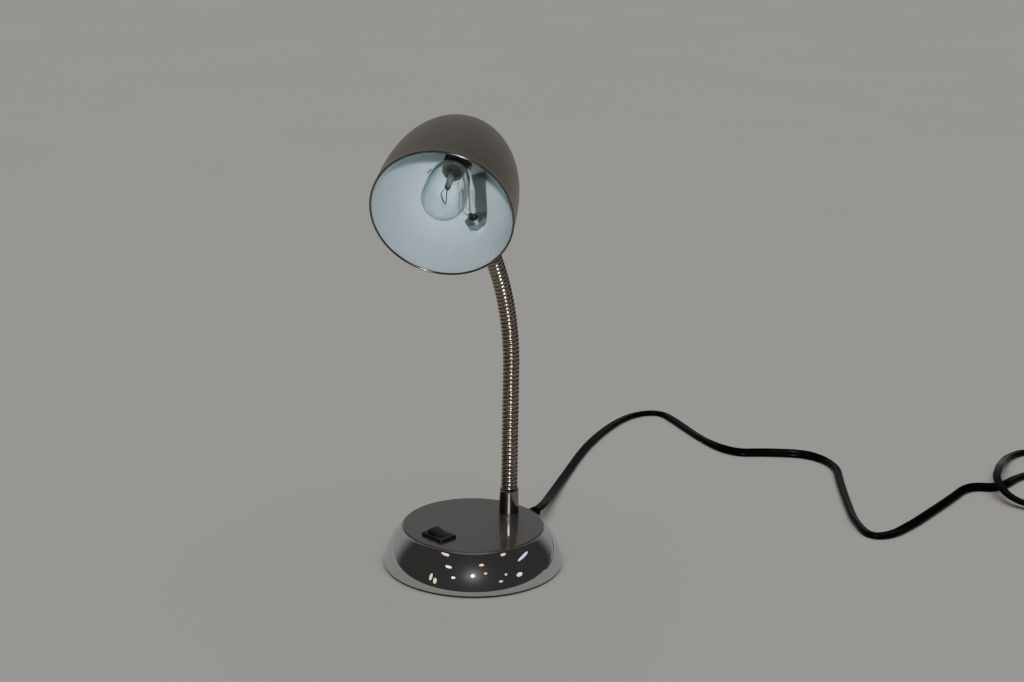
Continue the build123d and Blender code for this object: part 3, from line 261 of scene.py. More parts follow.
def glassFinish(name, tint, edgeTint, polish):
    # clear blown glass: thin, faintly wavy, so its reflections break up a little
    material, tree, place = newFinish(name)
    # looked through edgeways the wall is long and grey-green
    edge = addNode(tree, "ShaderNodeLayerWeight", inputs={"Blend": 0.5}).outputs["Facing"]
    depth = addNode(tree, "ShaderNodeMapRange", {"interpolation_type": "SMOOTHSTEP"}, {
        "Value": edge, "From Min": 0.45, "From Max": 0.95,
    })
    colour = addNode(tree, "ShaderNodeMix", {"data_type": "RGBA"}, {
        0: depth.outputs["Result"], 6: hexColor(tint), 7: hexColor(edgeTint),
    })
    waves = addNode(tree, "ShaderNodeTexNoise", inputs={
        "Vector": place, "Scale": 1 / (7 * mm), "Detail": 1.0,
    })
    bump = addNode(tree, "ShaderNodeBump", inputs={
        "Height": waves.outputs["Fac"], "Strength": 0.25, "Distance": 0.4 * mm,
    })
    glass = addNode(tree, "ShaderNodeBsdfPrincipled", inputs={
        "Base Color": colour.outputs[2], "Normal": bump.outputs["Normal"], "Roughness": polish,
        "Transmission Weight": 1.0, "IOR": 1.5,
    })
    # light from lamps goes straight through, so what is behind the glass is lit
    clear = addNode(tree, "ShaderNodeBsdfTransparent")
    passes = addNode(tree, "ShaderNodeLightPath").outputs["Is Shadow Ray"]
    mixed = addNode(tree, "ShaderNodeMixShader", inputs={
        0: passes, 1: glass.outputs["BSDF"], 2: clear.outputs["BSDF"],
    })
    addNode(tree, "ShaderNodeOutputMaterial", inputs={"Surface": mixed.outputs[0]})
    return material


# two tones and the range of the polish, then millimetres of cloud and of grain, and relief
finish = {
    # satin nickel plate on drawn steel, with broad soft highlights
    "shade": metalFinish("satinNickelShade", "#8a857c", "#837d73", (0.38, 0.43), bare=0.85),
    # the same plate under clear lacquer, which adds a faint sharp reflection
    "disc": metalFinish(
        "satinNickelDisc", "#68645d", "#646059", (0.42, 0.46), 20,
        coat=0.85, coatPolish=0.04, bare=0.9,
    ),
    # bright chrome plate: a mirror, with a slight haze round lamps from fine scratches
    "chrome": metalFinish(
        "chromePlate", "#cfd0d2", "#c4c5c8", (0.01, 0.04), 30, 8, coat=0.2, coatPolish=0.34,
    ),
    # polished nickel plate, on the rolled rim, the wound strip and the turned ferrules
    "rim": metalFinish("polishedRim", "#75716e", "#6a6664", (0.13, 0.18), 8, 3),
    "hose": metalFinish("nickelHose", "#a89e92", "#948a7e", (0.14, 0.20), 10, 1.5),
    "ferrule": metalFinish("nickelFerrule", "#8e8a82", "#86817a", (0.13, 0.15), 10, 2.0),
    # zinc plate on pressed steel, dull and slightly green
    "zinc": metalFinish("zincPlatedSteel", "#a3aaa6", "#8f9692", (0.36, 0.46), 6, 2),
    # bare and plated brass of the contacts, fairly bright from the rolling mill
    "brass": metalFinish("plainBrass", "#c9aa66", "#b18f4e", (0.22, 0.36), 6, 2),
    "nickel": metalFinish("nickelPlatedBrass", "#c9c3b4", "#bcb5a4", (0.15, 0.26), 8, 2),
    # solder that ran and set, uneven, and drawn wire, dark and even
    "solder": metalFinish("tinSolder", "#b5b6b6", "#9a9b9c", (0.25, 0.4), 3, 1, 0.3),
    "tungsten": metalFinish("drawnTungsten", "#6e6e70", "#58585a", (0.3, 0.4), 2, 0.5),
    # sand-cast iron, rough and nearly matt
    "iron": metalFinish("castIron", "#3f3e3c", "#2e2d2c", (0.55, 0.75), 8, 1.2, 0.6),
    # sprayed and baked enamel, white and half gloss
    "enamel": mouldedFinish("whiteEnamel", "#b6c4c6", "#afbdc0", (0.26, 0.34), 1.6, 0.05),
    # moulded ABS with a fine matt grain
    "abs": mouldedFinish("blackAbs", "#0b0a09", "#100e0d", (0.34, 0.44), 0.4, 0.2),
    # extruded soft PVC, smooth, with thin highlights
    "pvc": mouldedFinish("blackPvc", "#080706", "#0d0b0a", (0.2, 0.27), 0.9, 0.05, shine=0.06),
    "wire": mouldedFinish("wirePvc", "#1c1c20", "#27272b", (0.35, 0.45), 0.8, 0.08),
    # pressed phenolic resin, dark brown, and pale moulded nylon
    "phenolic": mouldedFinish("brownPhenolic", "#20130e", "#2b1c15", (0.32, 0.48), 0.6, 0.15),
    "nylon": mouldedFinish("naturalNylon", "#dad8cd", "#cdcabd", (0.35, 0.45), 0.6, 0.1),
    # cut foam rubber, matt and open
    "foam": mouldedFinish("blackFoam", "#1b1b1b", "#272727", (0.85, 0.95), 0.9, 0.8),
    # the bulb's base: a fused bead of black glass, and baked cement, whose near-black brown is
    # painted shade for the dark inside of the metal base
    "bead": mouldedFinish("blackGlassBead", "#0b0b0c", "#131315", (0.08, 0.15), 1.0, 0.05),
    "shadedCement": mouldedFinish("cementWithPaintedShade", "#22120b", "#150b07", (0.6, 0.75), 0.5, 0.4, shine=0.15),
    "sleeve": braidedFinish("braidedGlassFibre", "#c4c6c1", "#9fa19b"),
    "glass": glassFinish("clearBulbGlass", "#eef3f2", "#7f8f8b", 0.0),
    # pressed glass, its surface dulled by the tongs
    "stem": glassFinish("pressedStemGlass", "#f2f5f3", "#c5cfcb", 0.4),
}
print("finishes made:", len(finish))


# mesh helpers


def newObject(name, data):
    piece = bpy.data.objects.new(name, data)
    bpy.context.scene.collection.objects.link(piece)
    return piece


def finishedMesh(name, bm, matrix=None, sharpAngle=35.0):
    if matrix is not None:
        bmesh.ops.transform(bm, matrix=matrix, verts=bm.verts)
    bmesh.ops.recalc_face_normals(bm, faces=bm.faces)
    mesh = bpy.data.meshes.new(name)
    bm.to_mesh(mesh)
    bm.free()
    mesh.polygons.foreach_set("use_smooth", [True] * len(mesh.polygons))
    mesh.set_sharp_from_angle(angle=math.radians(sharpAngle))
    return mesh


def roundedOutline(corners, closed=True, arcSteps=5):
    # outline whose corners (radius, height, fillet) are rounded
    points = []
    count = len(corners)
    for i, (x, y, fillet) in enumerate(corners):
        here = Vector((x, y))
        if fillet <= 0 or (not closed and i in (0, count - 1)):
            points.append((x, y))
            continue
        before = (Vector(corners[i - 1][:2]) - here).normalized()
        after = (Vector(corners[(i + 1) % count][:2]) - here).normalized()
        half = before.angle(after) / 2
        cut = fillet / math.tan(half)
        middle = (before + after).normalized() * (fillet / math.sin(half))
        start, end = before * cut - middle, after * cut - middle
        sweep = start.angle_signed(end)
        for step in range(arcSteps + 1):
            turn = -sweep * step / arcSteps
            points.append((
                x + middle.x + start.x * math.cos(turn) - start.y * math.sin(turn),
                y + middle.y + start.x * math.sin(turn) + start.y * math.cos(turn),
            ))
    return points


def inMillimetres(points, start=0.0):
    # points given in mm, with start added to the second value of each
    return [(p[0] * mm, start + p[1] * mm, *[value * mm for value in p[2:]]) for p in points]


def ringOf(bm, radii, height):
    # a ring of vertices round the z axis, one for each radius
    turns = [2 * math.pi * i / len(radii) for i in range(len(radii))]
    return [bm.verts.new((r * math.cos(a), r * math.sin(a), height)) for r, a in zip(radii, turns)]


def joinRings(bm, rings, closed=True):
    # faces between each ring and the next, in one list for each pair
    bands = []
    for first, second in zip(rings, rings[1:] + rings[:1] if closed else rings[1:]):
        steps = max(len(first), len(second))
        band = []
        for i in range(steps):
            j = (i + 1) % steps
            corners = [first[i % len(first)], first[j % len(first)],
                       second[j % len(second)], second[i % len(second)]]
            corners = list(dict.fromkeys(corners))  # a ring of one vertex makes triangles
            if len(corners) > 2:
                band.append(bm.faces.new(corners))
        bands.append(band)
    return bands


def addLathe(bm, outline, steps, closed=True, slots=None):
    # turns an outline of (radius, height) round the z axis; slots name each band's finish
    rings = [
        ringOf(bm, [radius] * (steps if radius else 1), height) for radius, height in outline
    ]
    for number, band in enumerate(joinRings(bm, rings, closed)):
        for face in band:
            face.material_index = slots[number] if slots else 0


def lathe(name, outline, matrix=None, steps=96, closed=True, sharpAngle=35.0, slots=None):
    # a turned piece, set in place
    bm = bmesh.new()
    addLathe(bm, outline, steps, closed, slots)
    return newObject(name, finishedMesh(name, bm, matrix, sharpAngle))


def drillAt(origin, axis, toward, radius, length, steps):
    # a cylinder to cut a hole with
    outline = [(0, 0), (radius, 0), (radius, length), (0, length)]
    return lathe("drill", outline, frameAt(origin, axis, toward), steps, closed=False)


def evaluatedMesh(piece):
    # plain mesh of a piece, as its modifiers or its spline make it
    bpy.context.view_layer.update()
    evaluated = piece.evaluated_get(bpy.context.evaluated_depsgraph_get())
    return bpy.data.meshes.new_from_object(evaluated)


def applyModifiers(piece):
    mesh = evaluatedMesh(piece)
    mesh.name = piece.name
    piece.modifiers.clear()
    piece.data = mesh


def cutWith(piece, tools):
    # takes the tools' volumes out of the piece
    for tool in tools:
        cutter = piece.modifiers.new("cut", "BOOLEAN")
        cutter.operation = "DIFFERENCE"
        cutter.solver = "EXACT"
        cutter.object = tool
        applyModifiers(piece)
        bpy.data.objects.remove(tool)


def softened(name, node, width, angle=50.0, segments=2):
    # a copy of a construction solid with its edges rounded off
    bm = bmesh.new()
    bm.from_mesh(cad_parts[node].data)
    bmesh.ops.remove_doubles(bm, verts=bm.verts, dist=0.002 * mm)
    bmesh.ops.dissolve_limit(bm, angle_limit=math.radians(1.0), verts=bm.verts, edges=bm.edges)
    sharp = [
        edge for edge in bm.edges
        if len(edge.link_faces) == 2 and edge.calc_face_angle(0) > math.radians(angle)
    ]
    bmesh.ops.bevel(
        bm, geom=sharp, offset=width, segments=segments, profile=0.5,
        affect="EDGES", clamp_overlap=True,
    )
    return newObject(name, finishedMesh(name, bm, sharpAngle=30))


def coated(piece, keys):
    # the piece with these finishes in its slots
    for key in keys:
        piece.data.materials.append(finish[key])
    return piece


def dress(piece, body, keys, replaced):
    # a piece's finishes, the body it rides on, and the solids it stands for, which are hidden
    coated(piece, keys)
    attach(piece, body)
    if replaced:
        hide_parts(*replaced)
    return piece


# mains cord: flat two-core flex that twists as it lies

cordSettings = {
    "width": 7.0 * mm, "thickness": 3.6 * mm, "length": 1.8, "groove": 0.62, "coreSteps": 9,
    "exit": (-0.0178, 0.0837, 0.0106), "step": 2.2 * mm, "window": 90, "clearance": 0.05 * mm,
    "coilCentre": (0.268, 0.442), "coilRadius": 40 * mm, "turns": 2.25, "perTurn": 16,
    "inside": (0.7, 0.5), "onTop": (1.75, 0.4),  # start and length of both moves, in turns
    "lying": 0.52, "layer": 1.05,  # heights, in thicknesses
    "tail": 34 * mm, "plugHeight": 7 * mm, "inPlug": 1 * mm,
}
# route on the table in metres, and how far the flat side stands up in degrees
cordRoute = [
    (-0.0129, 0.0606, 0.0106, 0), (-0.0209, 0.0930, 0.0106, 0), (-0.0403, 0.1219, 0.0060, -8),
    (-0.0717, 0.1741, 0.0028, -32), (-0.1033, 0.2293, 0.0028, -36), (-0.1276, 0.2834, 0.0022, -6),
    (-0.1396, 0.3312, 0.0022, 11), (-0.1271, 0.3578, 0.0022, 9), (-0.0981, 0.3469, 0.0020, -6),
    (-0.0538, 0.3278, 0.0022, 6), (-0.0118, 0.3167, 0.0030, -47), (0.0097, 0.3410, 0.0033, -60),
    (0.0352, 0.3631, 0.0033, -60), (0.0661, 0.3616, 0.0024, 2), (0.0934, 0.3284, 0.0023, 12),
    (0.1390, 0.2785, 0.0025, 22), (0.1532, 0.2655, 0.0026, 27), (0.1740, 0.2510, 0.0022, 6),
    (0.1852, 0.2631, 0.0022, -8), (0.1852, 0.2919, 0.0027, -31), (0.1818, 0.3237, 0.0030, -47),
    (0.1763, 0.3641, 0.0030, -46), (0.1708, 0.3986, 0.0033, -60), (0.1914, 0.4131, 0.0032, -54),
    (0.1859, 0.4540, 0.0024, 4), (0.1970, 0.4808, 0.0020, 0), (0.1965, 0.5120, 0.0020, 0),
    (0.1750, 0.5250, 0.0020, 0), (0.1571, 0.5111, 0.0020, 0), (0.1562, 0.4864, 0.0030, -14),
    (0.1644, 0.4625, 0.0065, -20), (0.1757, 0.4377, 0.0118, -10), (0.1895, 0.4077, 0.0118, 0),
    (0.2146, 0.3907, 0.0055, 0), (0.2450, 0.4022, 0.0024, 0),
]


def coilTurns(settings):
    # a turn, a second inside it, and a last quarter on top of them, out to the plug
    points = []
    centreX, centreY = settings["coilCentre"]
    half = settings["width"] / 2
    for step in range(int(settings["turns"] * settings["perTurn"]) + 1):
        share = step / settings["perTurn"]
        angle = 2 * math.pi * share - math.pi / 2
        inner, above = [
            min(1.0, max(0.0, (share - start) / length))
            for start, length in (settings["inside"], settings["onTop"])
        ]
        radius = settings["coilRadius"] + half * (1 - 2 * inner + above)
        points.append((
            centreX + radius * math.cos(angle), centreY + radius * math.sin(angle),
            settings["thickness"] * (settings["lying"] + settings["layer"] * above), 0,
        ))
    endX, tail, high = centreX + settings["coilRadius"], settings["tail"], settings["plugHeight"]
    points.append((endX, centreY + tail * 0.5, high * 0.95, 0))
    points.append((endX, centreY + tail + settings["inPlug"], high, 0))
    return points


def smoothLine(points, resolution=14):
    # points along the spline that these points steer
    data = bpy.data.curves.new("route", "CURVE")
    data.dimensions = "3D"
    data.resolution_u = resolution
    spline = data.splines.new("NURBS")
    spline.points.add(len(points) - 1)
    for point, (x, y, z) in zip(spline.points, points):
        point.co = (x, y, z, 1)
    spline.order_u = 3
    spline.use_endpoint_u = True
    holder = newObject("route", data)
    line = [v.co.copy() for v in evaluatedMesh(holder).vertices]
    bpy.data.objects.remove(holder)
    return line


def lineLengths(line):
    lengths = [0.0]
    for a, b in zip(line, line[1:]):
        lengths.append(lengths[-1] + (b - a).length)
    return lengths


def evenLine(line, step):
    # the same line with its points this far apart
    lengths = lineLengths(line)
    count = max(2, round(lengths[-1] / step))
    even, i = [], 0
    for n in range(count + 1):
        want = lengths[-1] * n / count
        while i < len(lengths) - 2 and lengths[i + 1] < want:
            i += 1
        share = (want - lengths[i]) / max(lengths[i + 1] - lengths[i], 1e-12)
        even.append(line[i].lerp(line[i + 1], share))
    return even


def twinSection(settings):
    # two round cores side by side, with a groove along their joint
    half, steps = settings["thickness"] / 2, settings["coreSteps"]
    core = (settings["width"] - settings["thickness"]) / 2
    points = []
    for side in (1, -1):
        for step in range(steps + 1):
            angle = math.pi * (step / steps - 0.5)
            points.append((side * (core + half * math.cos(angle)), side * half * math.sin(angle)))
        points.append((0.0, side * half * settings["groove"]))
    return points


def sweptTube(name, line, section, turns):
    # sweeps a section along a line; each place turns it by some degrees from lying flat
    bm = bmesh.new()
    uvLayer = bm.loops.layers.uv.new("UVMap")
    lengths = lineLengths(line)
    rings = []
    for i, here in enumerate(line):
        along = (line[min(i + 1, len(line) - 1)] - line[max(i - 1, 0)]).normalized()
        side = along.cross(up).normalized()
        high = side.cross(along)
        turn = math.radians(turns[i])
        x = side * math.cos(turn) + high * math.sin(turn)
        y = high * math.cos(turn) - side * math.sin(turn)
        rings.append([bm.verts.new(here + x * px + y * py) for px, py in section])
    around = lineLengths([Vector((*p, 0)) for p in section + section[:1]])
    for i, band in enumerate(joinRings(bm, rings, closed=False)):
        for j, face in enumerate(band):
            corners = ((j, i), (j + 1, i), (j + 1, i + 1), (j, i + 1))
            for loop, (across, on) in zip(face.loops, corners):
                loop[uvLayer].uv = (around[across] / mm, lengths[on] / mm)
    bm.faces.new(list(reversed(rings[0])))
    bm.faces.new(rings[-1])
    return newObject(name, finishedMesh(name, bm, sharpAngle=60))


def makeCord(settings):
    route = cordRoute + coilTurns(settings)
    steer = [Vector(p[:3]) for p in route]
    line = evenLine(smoothLine(steer), settings["step"])
    # each ring turns as the nearest steering points say
    nearest, start = [], 0
    for p in steer:
        window = range(start, min(start + settings["window"], len(line)))
        start = min(window, key=lambda n: (line[n] - p).length)
        nearest.append(start)
    nearest[0], nearest[-1] = 0, len(line) - 1
    turns = [0.0] * len(line)
    for (a, b), (here, there) in zip(zip(nearest, nearest[1:]), zip(route, route[1:])):
        for n in range(a, b + 1):
            share = (n - a) / max(1, b - a)
            share = share * share * (3 - 2 * share)
            turns[n] = here[3] + (there[3] - here[3]) * share
    half = settings["thickness"] / 2
    core = (settings["width"] - settings["thickness"]) / 2
    for n, p in enumerate(line):
        # never into the table, however it is turned
        lowest = half + core * abs(math.sin(math.radians(turns[n]))) + settings["clearance"]
        p.z = max(p.z, lowest)
    made = sweptTube("mains_cord", line, twinSection(settings), turns)
    dress(made, "base", ["pvc"], ["cord_tube", "cord_coil"])
    return made, line


cord, cordLine = makeCord(cordSettings)
print("cord made, metres long:", round(lineLengths(cordLine)[-1], 3))


# neck: a strip wound into a ribbed hose, in nine lengths that each span one joint

hoseSettings = {
    "radius": 6.3 * mm, "pitch": 3.05 * mm, "depth": 0.9 * mm, "ringsPerPitch": 12, "around": 40,
    "roundness": 0.9, "stations": 460, "bendReach": 7.0 * mm,
}


def hoseTree(roundness):
    tree = bpy.data.node_groups.new("ribbedHose", "GeometryNodeTree")
    kinds = {
        "Line": "Geometry", "Start": "Float", "End": "Float", "Radius": "Float", "Pitch": "Float",
        "Depth": "Float", "Ring": "Float", "Around": "Int", "Side": "Vector", "Finish": "Material",
    }
    for name, kind in kinds.items():
        tree.interface.new_socket(name, in_out="INPUT", socket_type=f"NodeSocket{kind}")
    tree.interface.new_socket("Hose", in_out="OUTPUT", socket_type="NodeSocketGeometry")
    given = addNode(tree, "NodeGroupInput").outputs
    curve = addNode(tree, "GeometryNodeMeshToCurve", inputs={"Mesh": given["Line"]})
    whole = addNode(tree, "GeometryNodeCaptureAttribute", inputs={0: curve.outputs["Curve"]})
    whole.capture_items.new("FLOAT", "along")
    distance = addNode(tree, "GeometryNodeSplineParameter").outputs["Length"]
    tree.links.new(distance, whole.inputs[1])
    part = addNode(tree, "GeometryNodeTrimCurve", {"mode": "LENGTH"}, {
        0: whole.outputs[0], 4: given["Start"], 5: given["End"],
    })
    rings = addNode(tree, "GeometryNodeResampleCurve", {"mode": "LENGTH"}, {
        "Curve": part.outputs[0], "Length": given["Ring"],
    })
    middle = addNode(tree, "GeometryNodeCaptureAttribute", inputs={0: rings.outputs["Curve"]})
    middle.capture_items.new("VECTOR", "centre")
    middle.capture_items.new("VECTOR", "tangent")
    tree.links.new(addNode(tree, "GeometryNodeInputPosition").outputs[0], middle.inputs[1])
    tree.links.new(addNode(tree, "GeometryNodeInputTangent").outputs[0], middle.inputs[2])
    circle = addNode(tree, "GeometryNodeCurvePrimitiveCircle", inputs={
        "Resolution": given["Around"], "Radius": given["Radius"],
    })
    tube = addNode(tree, "GeometryNodeCurveToMesh", inputs={
        "Curve": middle.outputs[0], "Profile Curve": circle.outputs["Curve"], "Fill Caps": True,
    })
    # the way out from the middle line, and its angle from the side that the hose bends across
    here = addNode(tree, "GeometryNodeInputPosition").outputs[0]
    arm = addNode(tree, "ShaderNodeVectorMath", {"operation": "SUBTRACT"}, {
        0: here, 1: middle.outputs[1],
    })
    outward = addNode(tree, "ShaderNodeVectorMath", {"operation": "NORMALIZE"}, {
        0: arm.outputs[0],
    }).outputs[0]
    front = addNode(tree, "ShaderNodeVectorMath", {"operation": "CROSS_PRODUCT"}, {
        0: middle.outputs[2], 1: given["Side"],
    })
    overSide, overFront = [
        addNode(tree, "ShaderNodeVectorMath", {"operation": "DOT_PRODUCT"}, {
            0: outward, 1: direction,
        }).outputs["Value"]
        for direction in (given["Side"], front.outputs[0])
    ]
    angle = addNode(tree, "ShaderNodeMath", {"operation": "ARCTAN2"}, {0: overFront, 1: overSide})
    windings = addNode(tree, "ShaderNodeMath", {"operation": "DIVIDE"}, {
        0: whole.outputs[1], 1: given["Pitch"],
    })
    share = addNode(tree, "ShaderNodeMath", {"operation": "MULTIPLY_ADD"}, {
        0: angle.outputs[0], 1: -0.5 / math.pi, 2: windings.outputs[0],
    })
    # half a sine for each winding: round ribs, with sharp roots sunk by the depth
    sunk = share.outputs[0]
    for operation, other in (
        ("MULTIPLY", math.pi), ("SINE", 0.0), ("ABSOLUTE", 0.0), ("POWER", roundness),
        ("SUBTRACT", 1.0), ("MULTIPLY", given["Depth"]),
    ):
        step = addNode(tree, "ShaderNodeMath", {"operation": operation}, {0: sunk, 1: other})
        sunk = step.outputs[0]
    offset = addNode(tree, "ShaderNodeVectorMath", {"operation": "SCALE"}, {
        0: outward, "Scale": sunk,
    })
    moved = addNode(tree, "GeometryNodeSetPosition", inputs={
        "Geometry": tube.outputs["Mesh"], "Offset": offset.outputs[0],
    })
    smooth = addNode(tree, "GeometryNodeSetShadeSmooth", inputs={"Geometry": moved.outputs[0]})
    real = addNode(tree, "GeometryNodeRealizeInstances", inputs={"Geometry": smooth.outputs[0]})
    finished = addNode(tree, "GeometryNodeSetMaterial", inputs={
        "Geometry": real.outputs[0], "Material": given["Finish"],
    })
    addNode(tree, "NodeGroupOutput", inputs={"Hose": finished.outputs[0]})
    return tree


def treeModifier(piece, tree, values):
    # a nodes modifier with its inputs set by their names' identifiers
    modifier = piece.modifiers.new("nodes", "NODES")
    modifier.node_group = tree
    for item in tree.interface.items_tree:
        if item.in_out == "INPUT" and item.name in values:
            modifier[item.identifier] = values[item.name]


def makeHose(settings):
    tree = hoseTree(settings["roundness"])
    firstJoint = lamp["lowerFerrule"] + lamp["hoseShow"]
    lastJoint = neckLength - lamp["upperFerrule"] - lamp["hoseShow"]
    spacing = (lastJoint - firstJoint) / lamp["links"]
    joints = [firstJoint + spacing * i for i in range(lamp["links"] + 1)]
    starts = [lamp["lowerFerrule"] - lamp["hoseHold"]] + [j + spacing / 2 for j in joints[:-1]]
    ends = starts[1:] + [neckLength - lamp["upperFerrule"] + lamp["upperHoseHold"]]
    # the hose is straight past its last joint, as its ferrule is
    lastPoint = wallPoint - neckEnd * (neckLength - lastJoint)
    points = []
    for n in range(settings["stations"] + 1):
        along = neckLength * n / settings["stations"]
        if along <= lastJoint:
            points.append(neckPlace(along)[0])
        else:
            points.append(lastPoint + neckEnd * (along - lastJoint))
    lineMesh = bpy.data.meshes.new("neckLine")
    lineMesh.from_pydata(points, [(n, n + 1) for n in range(settings["stations"])], [])
    pieces = []
    for number, (start, end) in enumerate(zip(starts, ends)):
        piece = newObject(f"hose_{number + 1}", lineMesh.copy())
        treeModifier(piece, tree, {
            "Start": start, "End": end, "Radius": settings["radius"], "Pitch": settings["pitch"],
            "Depth": settings["depth"], "Ring": settings["pitch"] / settings["ringsPerPitch"],
            "Around": settings["around"], "Side": sideways, "Finish": finish["hose"],
        })
        applyModifiers(piece)
        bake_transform(piece)
        covered = ["hose_foot"] if number == 0 else [f"neck_link_{number}"]
        if number == lamp["links"]:
            covered.append("hose_head")
        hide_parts(*covered)
        pieces.append(piece)
    return pieces


hose = makeHose(hoseSettings)
print("hose made:", len(hose), "lengths,", sum(len(p.data.polygons) for p in hose), "faces")


# ferrules at both ends of the neck

ferruleSettings = {
    "steps": 96,
    # outlines in mm: radius, height over the neck's foot or, for the upper one, its end, rounding
    "lower": (
        (4.9, 0, 0), (7.4, 0, 0.25), (7.0, 17.0, 0.6), (6.7, 18.5, 0.14),
        (6.4, 18.5, 0.1), (6.4, 6.5, 0), (4.9, 6.5, 0),
    ),
    "upper": (
        (4.9, -0.6, 0), (4.9, -6.6, 0), (6.6, -6.6, 0), (6.6, -14.0, 0.1),
        (6.9, -14.0, 0.14), (7.4, -0.6, 0.25),
    ),
}


def makeFerrules(settings):
    for name, place, body in (
        ("lower", frameAt(neckFoot, up, sideways), "base"),
        ("upper", frameAt(wallPoint, neckEnd, sideways), "head"),
    ):
        outline = roundedOutline(inMillimetres(settings[name]))
        dress(
            lathe(f"{name}_collar", outline, place, settings["steps"]),
            body, ["ferrule"], [f"{name}_ferrule"],
        )


makeFerrules(ferruleSettings)
print("ferrules made")


# base: spun chrome skirt round a satin disc

baseSettings = {
    "radius": 65.5 * mm, "lift": 1.2 * mm, "wall": 1.5 * mm, "curve": 41.0 * mm, "bulge": 49.0 * mm,
    "plate": 51.3 * mm, "plateThickness": 2.0 * mm, "proud": 0.8 * mm, "gap": 0.2 * mm,
    "lip": 0.5 * mm, "ledgeWidth": 4.5 * mm, "ledgeThickness": 1.5 * mm,
    "arcSteps": 26, "steps": 288, "edge": 0.35 * mm, "chamfer": 0.12 * mm,
    "lipTuck": 0.10 * mm, "lipDrop": 0.06 * mm, "footTuck": 0.08 * mm,
    # the cord's way out: degrees from the rear, and the hole's cutter
    "exitHeight": 10.6 * mm, "exitTurn": 12.0, "exitRadius": 5.4 * mm,
    "drillStart": 50 * mm, "drillLength": 30 * mm,
}
exitTurn = math.radians(baseSettings["exitTurn"])
exitDirection = Vector((-math.sin(exitTurn), math.cos(exitTurn), 0))


def skirtArc(settings, curve, top):
    # centre of the arc that bulges away from the axis, in (radius, height)
    start = Vector((settings["radius"], settings["lift"]))
    end = Vector((settings["plate"] + settings["gap"] + settings["lip"], top))
    half = (end - start).length / 2
    reach = math.sqrt(curve ** 2 - half ** 2)
    across = (end - start) / (2 * half)
    return (start + end) / 2 + Vector((-across.y, across.x)) * reach


def makeSkirt(settings):
    low, top = settings["lift"], lamp["baseTop"] - settings["proud"]
    edge, chamfer, steps = settings["edge"], settings["chamfer"], settings["arcSteps"]
    # radius and centre of the arc outside, and of the one inside, which bulges more
    outer = (settings["bulge"], skirtArc(settings, settings["bulge"], top))
    inner = (settings["curve"] - settings["wall"], skirtArc(settings, settings["curve"], top))

    def onArc(arc, height):
        radius, centre = arc
        return (centre.x + math.sqrt(radius ** 2 - (height - centre.y) ** 2), height)

    def alongArc(arc, start, end):
        return [onArc(arc, start + (end - start) * n / steps) for n in range(steps + 1)]

    recess = settings["plate"] + settings["gap"]
    ledge = settings["plate"] - settings["ledgeWidth"]
    plateUnder = lamp["baseTop"] - settings["plateThickness"]
    ledgeUnder = plateUnder - settings["ledgeThickness"]
    lip, foot = onArc(outer, top)[0], onArc(outer, low)[0]
    outline = alongArc(outer, low + edge, top - edge) + [
        (lip - settings["lipTuck"], top - settings["lipDrop"]),
        (recess + chamfer, top), (recess, top - chamfer),
        (recess, plateUnder), (ledge, plateUnder), (ledge, ledgeUnder),
    ] + alongArc(inner, ledgeUnder, low) + [
        (foot - edge, low), (foot - settings["footTuck"], low + chamfer),
    ]
    skirt = lathe("chrome_skirt", outline, None, settings["steps"])
    exitStart = exitDirection * settings["drillStart"] + up * settings["exitHeight"]
    cutWith(skirt, [drillAt(
        exitStart, exitDirection, up, settings["exitRadius"], settings["drillLength"], 48,
    )])
    skirt.data.set_sharp_from_angle(angle=math.radians(35))
    dress(skirt, "base", ["chrome"], ["base_skirt"])


makeSkirt(baseSettings)
print("skirt made")


# shade: deep drawn cup, satin outside and white enamel inside, with a rolled rim

shadeSettings = {
    "rows": 44, "steps": 192, "seatSteps": 96,
    # the bead's radius, and where it meets the outer and the inner wall, in degrees
    "bead": 0.75 * mm, "beadEnds": (152, 28), "beadSteps": 16,
    # seat, in mm round the neck's line: radius, distance into the shade, rounding
    "seat": (
        (5.0, -0.6, 0), (8.5, -0.6, 0.25), (8.5, 0.4, 0),
        (6.9, 0.4, 0), (6.9, 2.4, 0.25), (5.0, 2.4, 0),
    ),
    "hole": 5.0 * mm, "drillStart": -8 * mm, "drillLength": 20 * mm,
    # vent slot: how far behind the rim, and degrees round the shade
    "slotDepth": 76.8 * mm, "slotAngle": -77.2, "slotLength": 5.0 * mm, "slotWidth": 1.2 * mm,
    "slotSlant": 0.7, "slotCorner": 0.55 * mm, "punch": 6 * mm,
}


def ventPunch(settings):
    # a block with rounded corners that stands through the wall
    turn, depth = math.radians(settings["slotAngle"]), settings["slotDepth"]
    near, far = [
        headPoint(shadeRadius(d) * math.cos(turn), d, shadeRadius(d) * math.sin(turn))
        for d in (depth - 0.5 * mm, depth + 0.5 * mm)
    ]
    across = headSide * math.cos(turn) + inward * math.sin(turn)
    slant = across.cross(far - near).normalized() + across * settings["slotSlant"]
    size = (settings["slotLength"], settings["slotWidth"], settings["punch"], 1)
    bm = bmesh.new()
    bmesh.ops.create_cube(bm, size=1.0, matrix=Matrix.Diagonal(size))
    half = settings["punch"] / 2
    upright = [e for e in bm.edges if abs((e.verts[0].co - e.verts[1].co).z) > half]
    bmesh.ops.bevel(
        bm, geom=upright, offset=settings["slotCorner"], segments=4, profile=0.5, affect="EDGES"
    )
    return newObject("slot", finishedMesh("slot", bm, frameAt((near + far) / 2, slant, far - near)))


